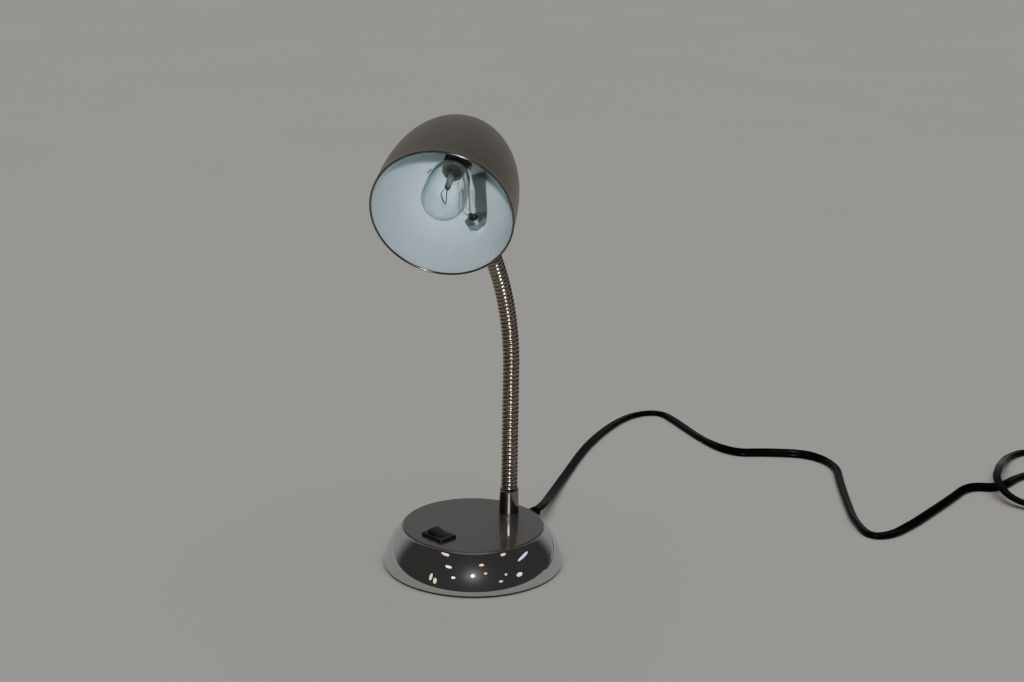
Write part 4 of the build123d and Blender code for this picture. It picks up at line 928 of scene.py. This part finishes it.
def makeShade(settings):
    wall, length, rows = lamp["wall"], lamp["shadeLength"], settings["rows"]

    def rowsOf(inset):
        # closer together toward the dome, where the wall turns fastest
        reach = length - inset
        depths = [reach * math.sin(math.pi / 2 * n / rows) for n in range(rows + 1)]
        return [(shadeRadius(depth, inset) if depth < reach else 0.0, depth) for depth in depths]

    outside, inside = rowsOf(0.0), rowsOf(wall)
    # the bead leaves the outer wall, turns round the rim and comes back to the inner wall
    middle, bead, steps = lamp["rimRadius"] - wall / 2, settings["bead"], settings["beadSteps"]
    first, last = [math.radians(angle) for angle in settings["beadEnds"]]
    curl = []
    for n in range(steps + 1):
        angle = math.pi - first - (2 * math.pi - first + last) * n / steps
        curl.append((middle + bead * math.cos(angle), bead * math.sin(angle)))
    outline = outside[:0:-1] + curl + inside[1:]
    slots = [0] * (len(outside) - 1) + [1] * (len(curl) - 1) + [2] * (len(inside) - 1)
    place = frameAt(rimCentre, -opening, -inward)
    shell = lathe("shade_shell", outline, place, settings["steps"], closed=False, slots=slots)
    # finishes go on before the cuts, which keep them
    coated(shell, ["shade", "rim", "enamel"])
    neckHole = drillAt(
        wallPoint + neckEnd * settings["drillStart"], neckEnd, sideways,
        settings["hole"], settings["drillLength"], 64,
    )
    cutWith(shell, [neckHole, ventPunch(settings)])
    shell.data.set_sharp_from_angle(angle=math.radians(40))
    dress(shell, "head", (), ["shade"])
    # flat seat pressed into the wall where the neck is clamped, satin outside, enamelled inside
    seat = roundedOutline(inMillimetres(settings["seat"]))
    slots = [0 if a[1] + b[1] < wall else 1 for a, b in zip(seat, seat[1:] + seat[:1])]
    place = frameAt(wallPoint, neckEnd, sideways)
    dress(
        lathe("shade_seat", seat, place, settings["seatSteps"], slots=slots),
        "head", ["shade", "enamel"], (),
    )


makeShade(shadeSettings)
print("shade made")


# bulb: small clear pear bulb with a screw base

socketAxis = frameAt(headPoint(0, 0, lamp["socketSide"]), -opening, -inward)
bulbSettings = {
    "mouth": 54.0 * mm, "length": 48.5 * mm, "radius": 15.4 * mm, "glass": 0.8 * mm, "rows": 24,
    "neckRadius": 6.7 * mm, "neckDrop": 0.2 * mm, "neckIn": 0.3 * mm,
    "shoulder": 13.6 * mm, "shoulderDrop": 0.6 * mm, "sides": 0.62,
    # rolled thread, which fades at both ends
    "steps": 64, "threadRows": 74, "threadLength": 13.5 * mm, "baseRadius": 6.1 * mm,
    "pitch": 2.54 * mm, "threadDepth": 0.42 * mm, "fadeIn": 1.6 * mm, "fadeOut": 1.2 * mm,
    # outlines in mm: radius, and distance past the mouth of the glass
    "liner": ((3.0, 15.5), (2.6, 15.5), (2.6, 15.1), (5.2, 13.1), (5.2, 0)),
    "collar": (
        (7.15, -0.5), (7.48, -0.5), (7.6, -0.38), (7.6, 1.2),
        (7.4, 1.4), (5.4, 1.4), (5.4, 1.1), (7.15, 1.1),
    ),
    "shadedCement": ((6.75, -0.4), (7.13, -0.4), (7.13, 1.05), (5.2, 1.05), (5.2, 0.4), (6.75, 0.4)),
    # the stem's point, clear length and flare, and its foot that is bedded in the cement; flare and
    # foot take the cement's near-black finish, which is painted shade
    "stem": (
        (0, -21.0), (0.99, -20.85), (1.87, -20.5), (2.2, -19.9), (2.2, -6.0), (2.2, -3.4),
        (2.86, -2.1), (4.35, -0.9), (5.8, -0.1), (5.8, 0.3), (3.2, 0.9), (3.2, 2.4), (0, 2.4),
    ),
    "stemClear": 5,  # bands of clear glass before the cement
}


def pearOutline(settings, inset):
    # round end, long sides and a full shoulder that turns in to the base
    radius, narrow = settings["radius"] - inset, settings["neckRadius"] - inset
    centre = settings["mouth"] - settings["length"] + settings["radius"]
    neckTop = settings["mouth"] - settings["neckDrop"]
    rows = settings["rows"]
    points = []
    for n in range(rows + 1):
        angle = math.pi / 2 * n / rows
        points.append((radius * math.sin(angle), centre - radius * math.cos(angle)))
    start, end = Vector((radius, centre)), Vector((narrow, neckTop))
    near = start + Vector((0, settings["sides"] * (neckTop - centre)))
    far = Vector((settings["shoulder"] - inset, neckTop - settings["shoulderDrop"]))
    for n in range(1, rows + 1):
        t, s = n / rows, 1 - n / rows
        point = start * s ** 3 + near * 3 * t * s ** 2 + far * 3 * t ** 2 * s + end * t ** 3
        points.append(tuple(point))
    return points + [(narrow, settings["mouth"] + settings["neckIn"])]


def makeScrewBase(settings):
    # a thin wall that winds, closed by a liner, and the crimped collar filled with cement, painted
    # near black as the shade inside the base
    mouth, length, steps = settings["mouth"], settings["threadLength"], settings["steps"]

    def wallRadius(along, angle):
        fade = min(1.0, along / settings["fadeIn"], (length - along) / settings["fadeOut"])
        wave = 0.5 - 0.5 * math.cos(2 * math.pi * along / settings["pitch"] - angle)
        return settings["baseRadius"] - settings["threadDepth"] * wave * max(0.0, fade)

    bm = bmesh.new()
    rings = []
    for row in range(settings["threadRows"] + 1):
        along = length * row / settings["threadRows"]
        radii = [wallRadius(along, 2 * math.pi * i / steps) for i in range(steps)]
        rings.append(ringOf(bm, radii, mouth + along))
    for radius, height in inMillimetres(settings["liner"], mouth):
        rings.append(ringOf(bm, [radius] * steps, height))
    joinRings(bm, rings)
    for slot, key in enumerate(("collar", "shadedCement")):
        outline = inMillimetres(settings[key], mouth)
        addLathe(bm, outline, steps, slots=[slot] * len(outline))
    screw = newObject("bulb_screw_base", finishedMesh("bulb_screw_base", bm, socketAxis, 40))
    dress(screw, "bulb", ["nickel", "shadedCement"], ["bulb_base"])


def makeBulb(settings):
    outline = pearOutline(settings, 0.0) + pearOutline(settings, settings["glass"])[::-1]
    dress(
        lathe("bulb_envelope", outline, socketAxis, closed=False, sharpAngle=80),
        "bulb", ["glass"], ["bulb_glass"],
    )
    makeScrewBase(settings)
    outline = inMillimetres(settings["stem"], settings["mouth"])
    clear = settings["stemClear"]
    # past the clear bands the stem takes the near-black cement finish: painted shade inside the
    # base
    slots = [0] * clear + [1] * (len(outline) - 1 - clear)
    dress(
        lathe("bulb_stem_glass", outline, socketAxis, 64, closed=False, sharpAngle=60, slots=slots),
        "bulb", ["stem", "shadedCement"], ["bulb_stem"],
    )


makeBulb(bulbSettings)
print("bulb made")


# socket, its strap and the sleeved wires

socketSettings = {
    # the body in mm: radius, distance behind the rim, rounding; then its shallow moulded bands
    "front": ((0, 71.2, 0), (6.9, 71.2, 0), (6.9, 55.5, 0.2), (7.98, 55.5, 0.25), (8.6, 56.5, 0.3)),
    "band": ((8.6, 0, 0.1), (8.25, 0.4, 0.1), (8.25, 1.2, 0.1), (8.6, 1.6, 0.1)),
    "bandStarts": (60.5, 62.9, 65.3),
    "rear": ((8.6, 83.0, 0.4), (0, 83.0, 0)),
    "strapEdge": 0.28 * mm,
}


def makeSocket(settings):
    outline = list(settings["front"])
    for start in settings["bandStarts"]:
        outline += [(radius, start + depth, fillet) for radius, depth, fillet in settings["band"]]
    outline = roundedOutline(inMillimetres(outline + list(settings["rear"])), closed=False)
    body = lathe("lamp_socket", outline, socketAxis, closed=False)
    dress(body, "head", ["phenolic"], ["socket_body"])
    strap = softened("socket_strap", "socket_bracket", settings["strapEdge"])
    dress(strap, "head", ["zinc"], ["socket_bracket"])


def roundedRoute(points, radius):
    # steering points of a line that is straight between these points and rounded at each
    steer = [points[0]]
    for before, here, after in zip(points, points[1:], points[2:]):
        back, on = (before - here).normalized(), (after - here).normalized()
        reach = 2 * radius / math.tan(back.angle(on) / 2)
        steer += [here + back * min(reach, (before - here).length / 2), here,
                  here + on * min(reach, (after - here).length / 2)]
    return steer + [points[-1]]


sleeveSettings = {
    "radius": 1.8 * mm, "sides": 20, "bend": 3.0 * mm, "step": 0.6 * mm,
    # in mm, as headPoint takes them: the nipple's mouth, then each sleeve's way to its lug
    "nipple": (34.02, 46.47),
    "routes": (
        ((25.02, 45.47, -3.2), (22.02, 60.0, -4.6), (11.6, 70.0, -6.0), (11.6, 76.5, -6.0)),
        ((25.02, 45.47, 3.2), (22.02, 60.0, 1.6), (11.6, 70.0, 0.0), (11.6, 76.5, 0.0)),
    ),
    "wireOffsets": (-1.15 * mm, 1.15 * mm),
}


def makeSleeves(settings):
    turns = [2 * math.pi * n / settings["sides"] for n in range(settings["sides"])]
    section = [(settings["radius"] * math.cos(t), settings["radius"] * math.sin(t)) for t in turns]
    bm = bmesh.new()
    for offset, corners in zip(settings["wireOffsets"], settings["routes"]):
        nipple = headPoint(*inMillimetres([settings["nipple"]])[0]) + sideways * offset
        route = [headPoint(*corner) for corner in inMillimetres(corners)]
        # a sleeve begins half-way between the nipple and its first corner
        route.insert(0, nipple.lerp(route[0], 0.5))
        line = evenLine(smoothLine(roundedRoute(route, settings["bend"]), 10), settings["step"])
        tube = sweptTube("sleeve", line, section, [0.0] * len(line))
        bm.from_mesh(tube.data)
        bpy.data.objects.remove(tube)
    dress(
        newObject("glass_fibre_sleeves", finishedMesh("glass_fibre_sleeves", bm, sharpAngle=60)),
        "head", ["sleeve"], ["wire_sleeves"],
    )


makeSocket(socketSettings)
makeSleeves(sleeveSettings)
print("socket made")


# switch: bezel and rocker

for name, node, edge, body in (
    ("switch_bezel", "switch_housing", 0.3 * mm, "base"),
    ("switch_paddle", "switch_rocker", 0.25 * mm, "rocker"),
):
    dress(softened(name, node, edge), body, ["abs"], [node])
print("switch made")


# strain relief and plug

reliefSettings = {
    # in mm: where it starts behind the base's axis, and its form along the cord from there
    "start": 57.0, "length": 28.56, "straight": 8.56, "bore": 3.45, "flange": 6.4,
    "flangeLength": 1.5, "root": 5.2, "tip": 4.3, "flangeRound": 0.3, "tipRound": 0.4,
    "ribs": 6, "firstRib": 9.46, "ribPitch": 2.9, "groove": 0.7, "grooveWidth": 1.1,
    "grooveEdge": 0.15, "ribRound": 0.2, "rootRound": 0.1,
}


def makeRelief(settings):
    root, tip, flange = settings["root"], settings["tip"], settings["flange"]
    length, straight, fillet = settings["length"], settings["straight"], settings["flangeRound"]

    def radiusAt(z):
        return root + (tip - root) * max(0.0, (z - straight) / (length - straight))

    outline = [
        (settings["bore"], 0, 0), (flange, 0, fillet),
        (flange, settings["flangeLength"], fillet), (root, settings["flangeLength"], 0),
    ]
    for n in range(settings["ribs"]):
        start = settings["firstRib"] + settings["ribPitch"] * n
        end, floor = start + settings["grooveWidth"], radiusAt(start) - settings["groove"]
        outline += [
            (radiusAt(start), start, settings["ribRound"]),
            (floor, start + settings["grooveEdge"], settings["rootRound"]),
            (floor, end, settings["rootRound"]),
            (radiusAt(end), end + settings["grooveEdge"], settings["ribRound"]),
        ]
    outline += [(tip, length, settings["tipRound"]), (settings["bore"], length, 0)]
    origin = exitDirection * settings["start"] * mm + up * baseSettings["exitHeight"]
    relief = lathe(
        "cord_strain_relief", roundedOutline(inMillimetres(outline), arcSteps=3),
        frameAt(origin, exitDirection, up), 64,
    )
    dress(relief, "base", ["pvc"], ["strain_relief"])


plugSettings = {
    "edge": 0.6 * mm, "grooves": 4, "first": 6.0 * mm, "pitch": 2.4 * mm,
    "grooveWidth": 1.0 * mm, "grooveDepth": 0.45 * mm, "grooveLength": 9.0 * mm,
}


def makePlug(settings):
    plug = softened("mains_plug_body", "plug_body", settings["edge"], 40, 3)
    low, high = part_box("plug_body")
    # finger grooves across both broad faces
    size = Matrix.Diagonal((
        settings["grooveLength"], settings["grooveWidth"], 2 * settings["grooveDepth"], 1,
    ))
    bm = bmesh.new()
    for face in (low.z, high.z):
        for n in range(settings["grooves"]):
            along = high.y - settings["first"] - settings["pitch"] * n
            spot = Matrix.Translation(((low.x + high.x) / 2, along, face))
            bmesh.ops.create_cube(bm, size=1.0, matrix=spot @ size)
    cutWith(plug, [newObject("grooves", finishedMesh("grooves", bm))])
    plug.data.set_sharp_from_angle(angle=math.radians(30))
    return dress(plug, "base", ["pvc"], ["plug_body"])


tieSettings = {
    "turn": -40, "wall": 0.8 * mm, "lowest": 0.05 * mm, "middle": 3.6 * mm,
    "reach": 3.0 * mm, "outerReach": 2.9 * mm,
    # the band's inside in mm, round two strands and one on top: across, height, rounding
    "inside": (
        (-7.3, 0.9, 0.8), (7.3, 0.9, 0.8), (7.3, 3.6, 1.5),
        (4.015, 7.74, 1.5), (-4.015, 7.74, 1.5), (-7.3, 3.6, 1.5),
    ),
}


def makeTie(settings):
    angle = math.radians(settings["turn"])
    out = Vector((math.cos(angle), math.sin(angle), 0))
    along = up.cross(out)
    middle = Vector((*cordSettings["coilCentre"], 0)) + out * cordSettings["coilRadius"]
    inner = roundedOutline(inMillimetres(settings["inside"]), arcSteps=4)
    outer = []
    for x, y in inner:
        away = Vector((x, y - settings["middle"])).normalized() * settings["wall"]
        outer.append((x + away.x, max(settings["lowest"], y + away.y)))
    bm = bmesh.new()
    far, near = settings["reach"], settings["outerReach"]
    joinRings(bm, [
        [bm.verts.new(middle + out * x + up * y + along * shift) for x, y in outline]
        for outline, shift in ((inner, -far), (outer, -near), (outer, near), (inner, far))
    ])
    tie = newObject("coil_tie", finishedMesh("coil_tie", bm, sharpAngle=50))
    return dress(tie, "base", ["abs"], ["cord_tie"])


makeRelief(reliefSettings)
plug = makePlug(plugSettings)
tie = makeTie(tieSettings)
print("relief, plug and tie made")


# finishes of the construction solids that stay

keptFinish = {
    "disc": ["top_plate"],
    "iron": ["base_weight"],
    "foam": ["base_pad"],
    "zinc": [
        "bottom_plate", "base_screws", "lower_nipple", "lower_washer", "lower_nut",
        "upper_nipple", "upper_washer", "upper_nut", "socket_screw",
    ],
    "brass": [
        "switch_terminals", "tab_receptacles", "socket_shell", "socket_contact", "socket_lugs",
    ],
    "bead": ["bulb_insulator"],
    "solder": ["bulb_tip"],
    "tungsten": ["bulb_filament"],
    "wire": ["head_wires", "neck_leads", "cord_leads"]
    + [f"neck_wires_{number}" for number in range(1, lamp["links"] + 1)],
    "nylon": ["wire_splice"],
    "nickel": ["plug_blades"],
}
for key, nodes in keptFinish.items():
    for node in nodes:
        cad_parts[node].data.materials.clear()
        coated(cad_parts[node], [key])
print("kept solids finished:", sum(len(nodes) for nodes in keptFinish.values()))


# floor and light

studio = {
    "floor": ("#b5b4b2", "#b1b0ae"), "floorSize": 20.0, "floorDrop": -0.1 * mm,
    "wall": "#979798", "room": "#403f3d", "ceiling": "#93928f",
    # where the wall shows, as the share that a direction has of this one, and the ceiling of up
    "wallSide": (-0.78, 0.626, 0.0), "wallEdge": (0.34, 0.76), "ceilingEdge": (0.9, 0.99),
    "aim": (0, 0, 0.12),
    "abovePlace": (0, 0.1, 3), "abovePower": 1.93, "aboveColor": "#fffdf8", "aboveSpread": 80.0,
    "flashRise": 0.08, "flashPower": 17.6, "flashColor": "#ebeff8", "flashSize": 0.045,
    # small lamps round the room: place, width and height, watts, colour
    "lamps": (
        ((-0.25, -1.46, 1.95), (0.46, 0.18), 0.75, "#ffc4c8"),
        ((0.33, -1.95, 1.45), (0.32, 0.12), 0.58, "#ffffff"),
        ((0.81, -2.15, 0.89), (0.18, 0.12), 0.35, "#ffffff"),
        ((1.53, -0.88, 1.71), (0.22, 0.14), 0.42, "#ffac52"),
        ((1.91, -0.94, 1.22), (0.16, 0.09), 0.17, "#ffb668"),
        ((1.48, 0.41, 1.91), (0.28, 0.16), 0.45, "#ffb184"),
        ((-0.36, -2.38, 0.58), (0.15, 0.44), 0.42, "#e2eab4"),
        ((-0.08, -2.40, 0.42), (0.17, 0.36), 0.40, "#e2eab4"),
        ((1.60, 1.28, 1.33), (0.85, 0.13), 0.85, "#c4dcff"),
        ((2.25, 0.76, 0.63), (0.34, 0.22), 0.65, "#c8d6ff"),
        ((2.28, 0.03, 0.92), (0.13, 0.11), 0.10, "#e0e6ea"),
        ((2.37, -0.34, 0.57), (0.22, 0.14), 0.12, "#dfe6ee"),
    ),
}


def makeWorld(settings):
    # pale behind the lamp and dim on the near side, as its polished metal shows
    world = bpy.data.worlds.new("room")
    world.use_nodes = True
    tree = world.node_tree
    tree.nodes.clear()
    direction = addNode(tree, "ShaderNodeTexCoord").outputs["Generated"]
    away = addNode(tree, "ShaderNodeVectorMath", {"operation": "DOT_PRODUCT"}, {
        0: direction, 1: settings["wallSide"],
    })
    height = addNode(tree, "ShaderNodeSeparateXYZ", inputs={"Vector": direction})
    lit = hexColor(settings["room"])
    for share, key in ((away.outputs["Value"], "wall"), (height.outputs["Z"], "ceiling")):
        start, end = settings[f"{key}Edge"]
        amount = addNode(tree, "ShaderNodeMapRange", {"interpolation_type": "SMOOTHSTEP"}, {
            "Value": share, "From Min": start, "From Max": end,
        })
        lit = addNode(tree, "ShaderNodeMix", {"data_type": "RGBA"}, {
            0: amount.outputs["Result"], 6: lit, 7: hexColor(settings[key]),
        }).outputs[2]
    seen = addNode(tree, "ShaderNodeMix", {"data_type": "RGBA"}, {
        0: addNode(tree, "ShaderNodeLightPath").outputs["Is Camera Ray"],
        6: lit, 7: hexColor(settings["wall"]),
    })
    sky = addNode(tree, "ShaderNodeBackground", inputs={"Color": seen.outputs[2]})
    addNode(tree, "ShaderNodeOutputWorld", inputs={"Surface": sky.outputs[0]})
    bpy.context.scene.world = world


def makeLight(name, kind, spot, aim, energy, color):
    data = bpy.data.lights.new(name, kind)
    data.energy = energy
    data.color = hexColor(color)[:3]
    light = newObject(name, data)
    spot, aim = Vector(spot), Vector(aim)
    light.matrix_world = frameAt(spot, spot - aim, up.cross(spot - aim))
    light.visible_camera = False
    return light


def makeStudio(settings):
    bm = bmesh.new()
    bmesh.ops.create_grid(bm, x_segments=2, y_segments=2, size=settings["floorSize"])
    drop = Matrix.Translation((0, 0, settings["floorDrop"]))
    floor = newObject("floor", finishedMesh("floor", bm, drop))
    # plain pale floor, matt, clouded over tens of centimetres
    material, tree, place = newFinish("paleFloor")
    clouds = addNode(tree, "ShaderNodeTexNoise", inputs={
        "Vector": place, "Scale": 3.0, "Detail": 3.0,
    })
    light, dark = settings["floor"]
    colour = addNode(tree, "ShaderNodeMix", {"data_type": "RGBA"}, {
        0: clouds.outputs["Fac"], 6: hexColor(light), 7: hexColor(dark),
    })
    closeFinish(material, {
        "Base Color": colour.outputs[2], "Roughness": 0.8, "Specular IOR Level": 0.1,
    })
    floor.data.materials.append(material)
    makeWorld(settings)
    # an even overhead light is for the floor alone, and the near one for the lamp alone
    aim = settings["aim"]
    above = makeLight(
        "above", "SUN", settings["abovePlace"], aim, settings["abovePower"], settings["aboveColor"],
    )
    above.data.angle = math.radians(settings["aboveSpread"])
    onlyFloor = bpy.data.collections.new("onlyFloor")
    onlyFloor.objects.link(floor)
    above.light_linking.receiver_collection = onlyFloor
    flashPlace = Vector(cameraSettings["place"]) + up * settings["flashRise"]
    flash = makeLight(
        "flash", "AREA", flashPlace, aim, settings["flashPower"], settings["flashColor"],
    )
    flash.data.shape = "DISK"
    flash.data.size = settings["flashSize"]
    notFloor = bpy.data.collections.new("notFloor")
    notFloor.objects.link(floor)
    notFloor.collection_objects[0].light_linking.link_state = "EXCLUDE"
    flash.light_linking.receiver_collection = notFloor
    for number, (spot, size, power, color) in enumerate(settings["lamps"]):
        small = makeLight(f"lamp_{number + 1}", "AREA", spot, aim, power, color)
        small.data.shape = "ELLIPSE"
        small.data.size, small.data.size_y = size


makeStudio(studio)
print("studio made")
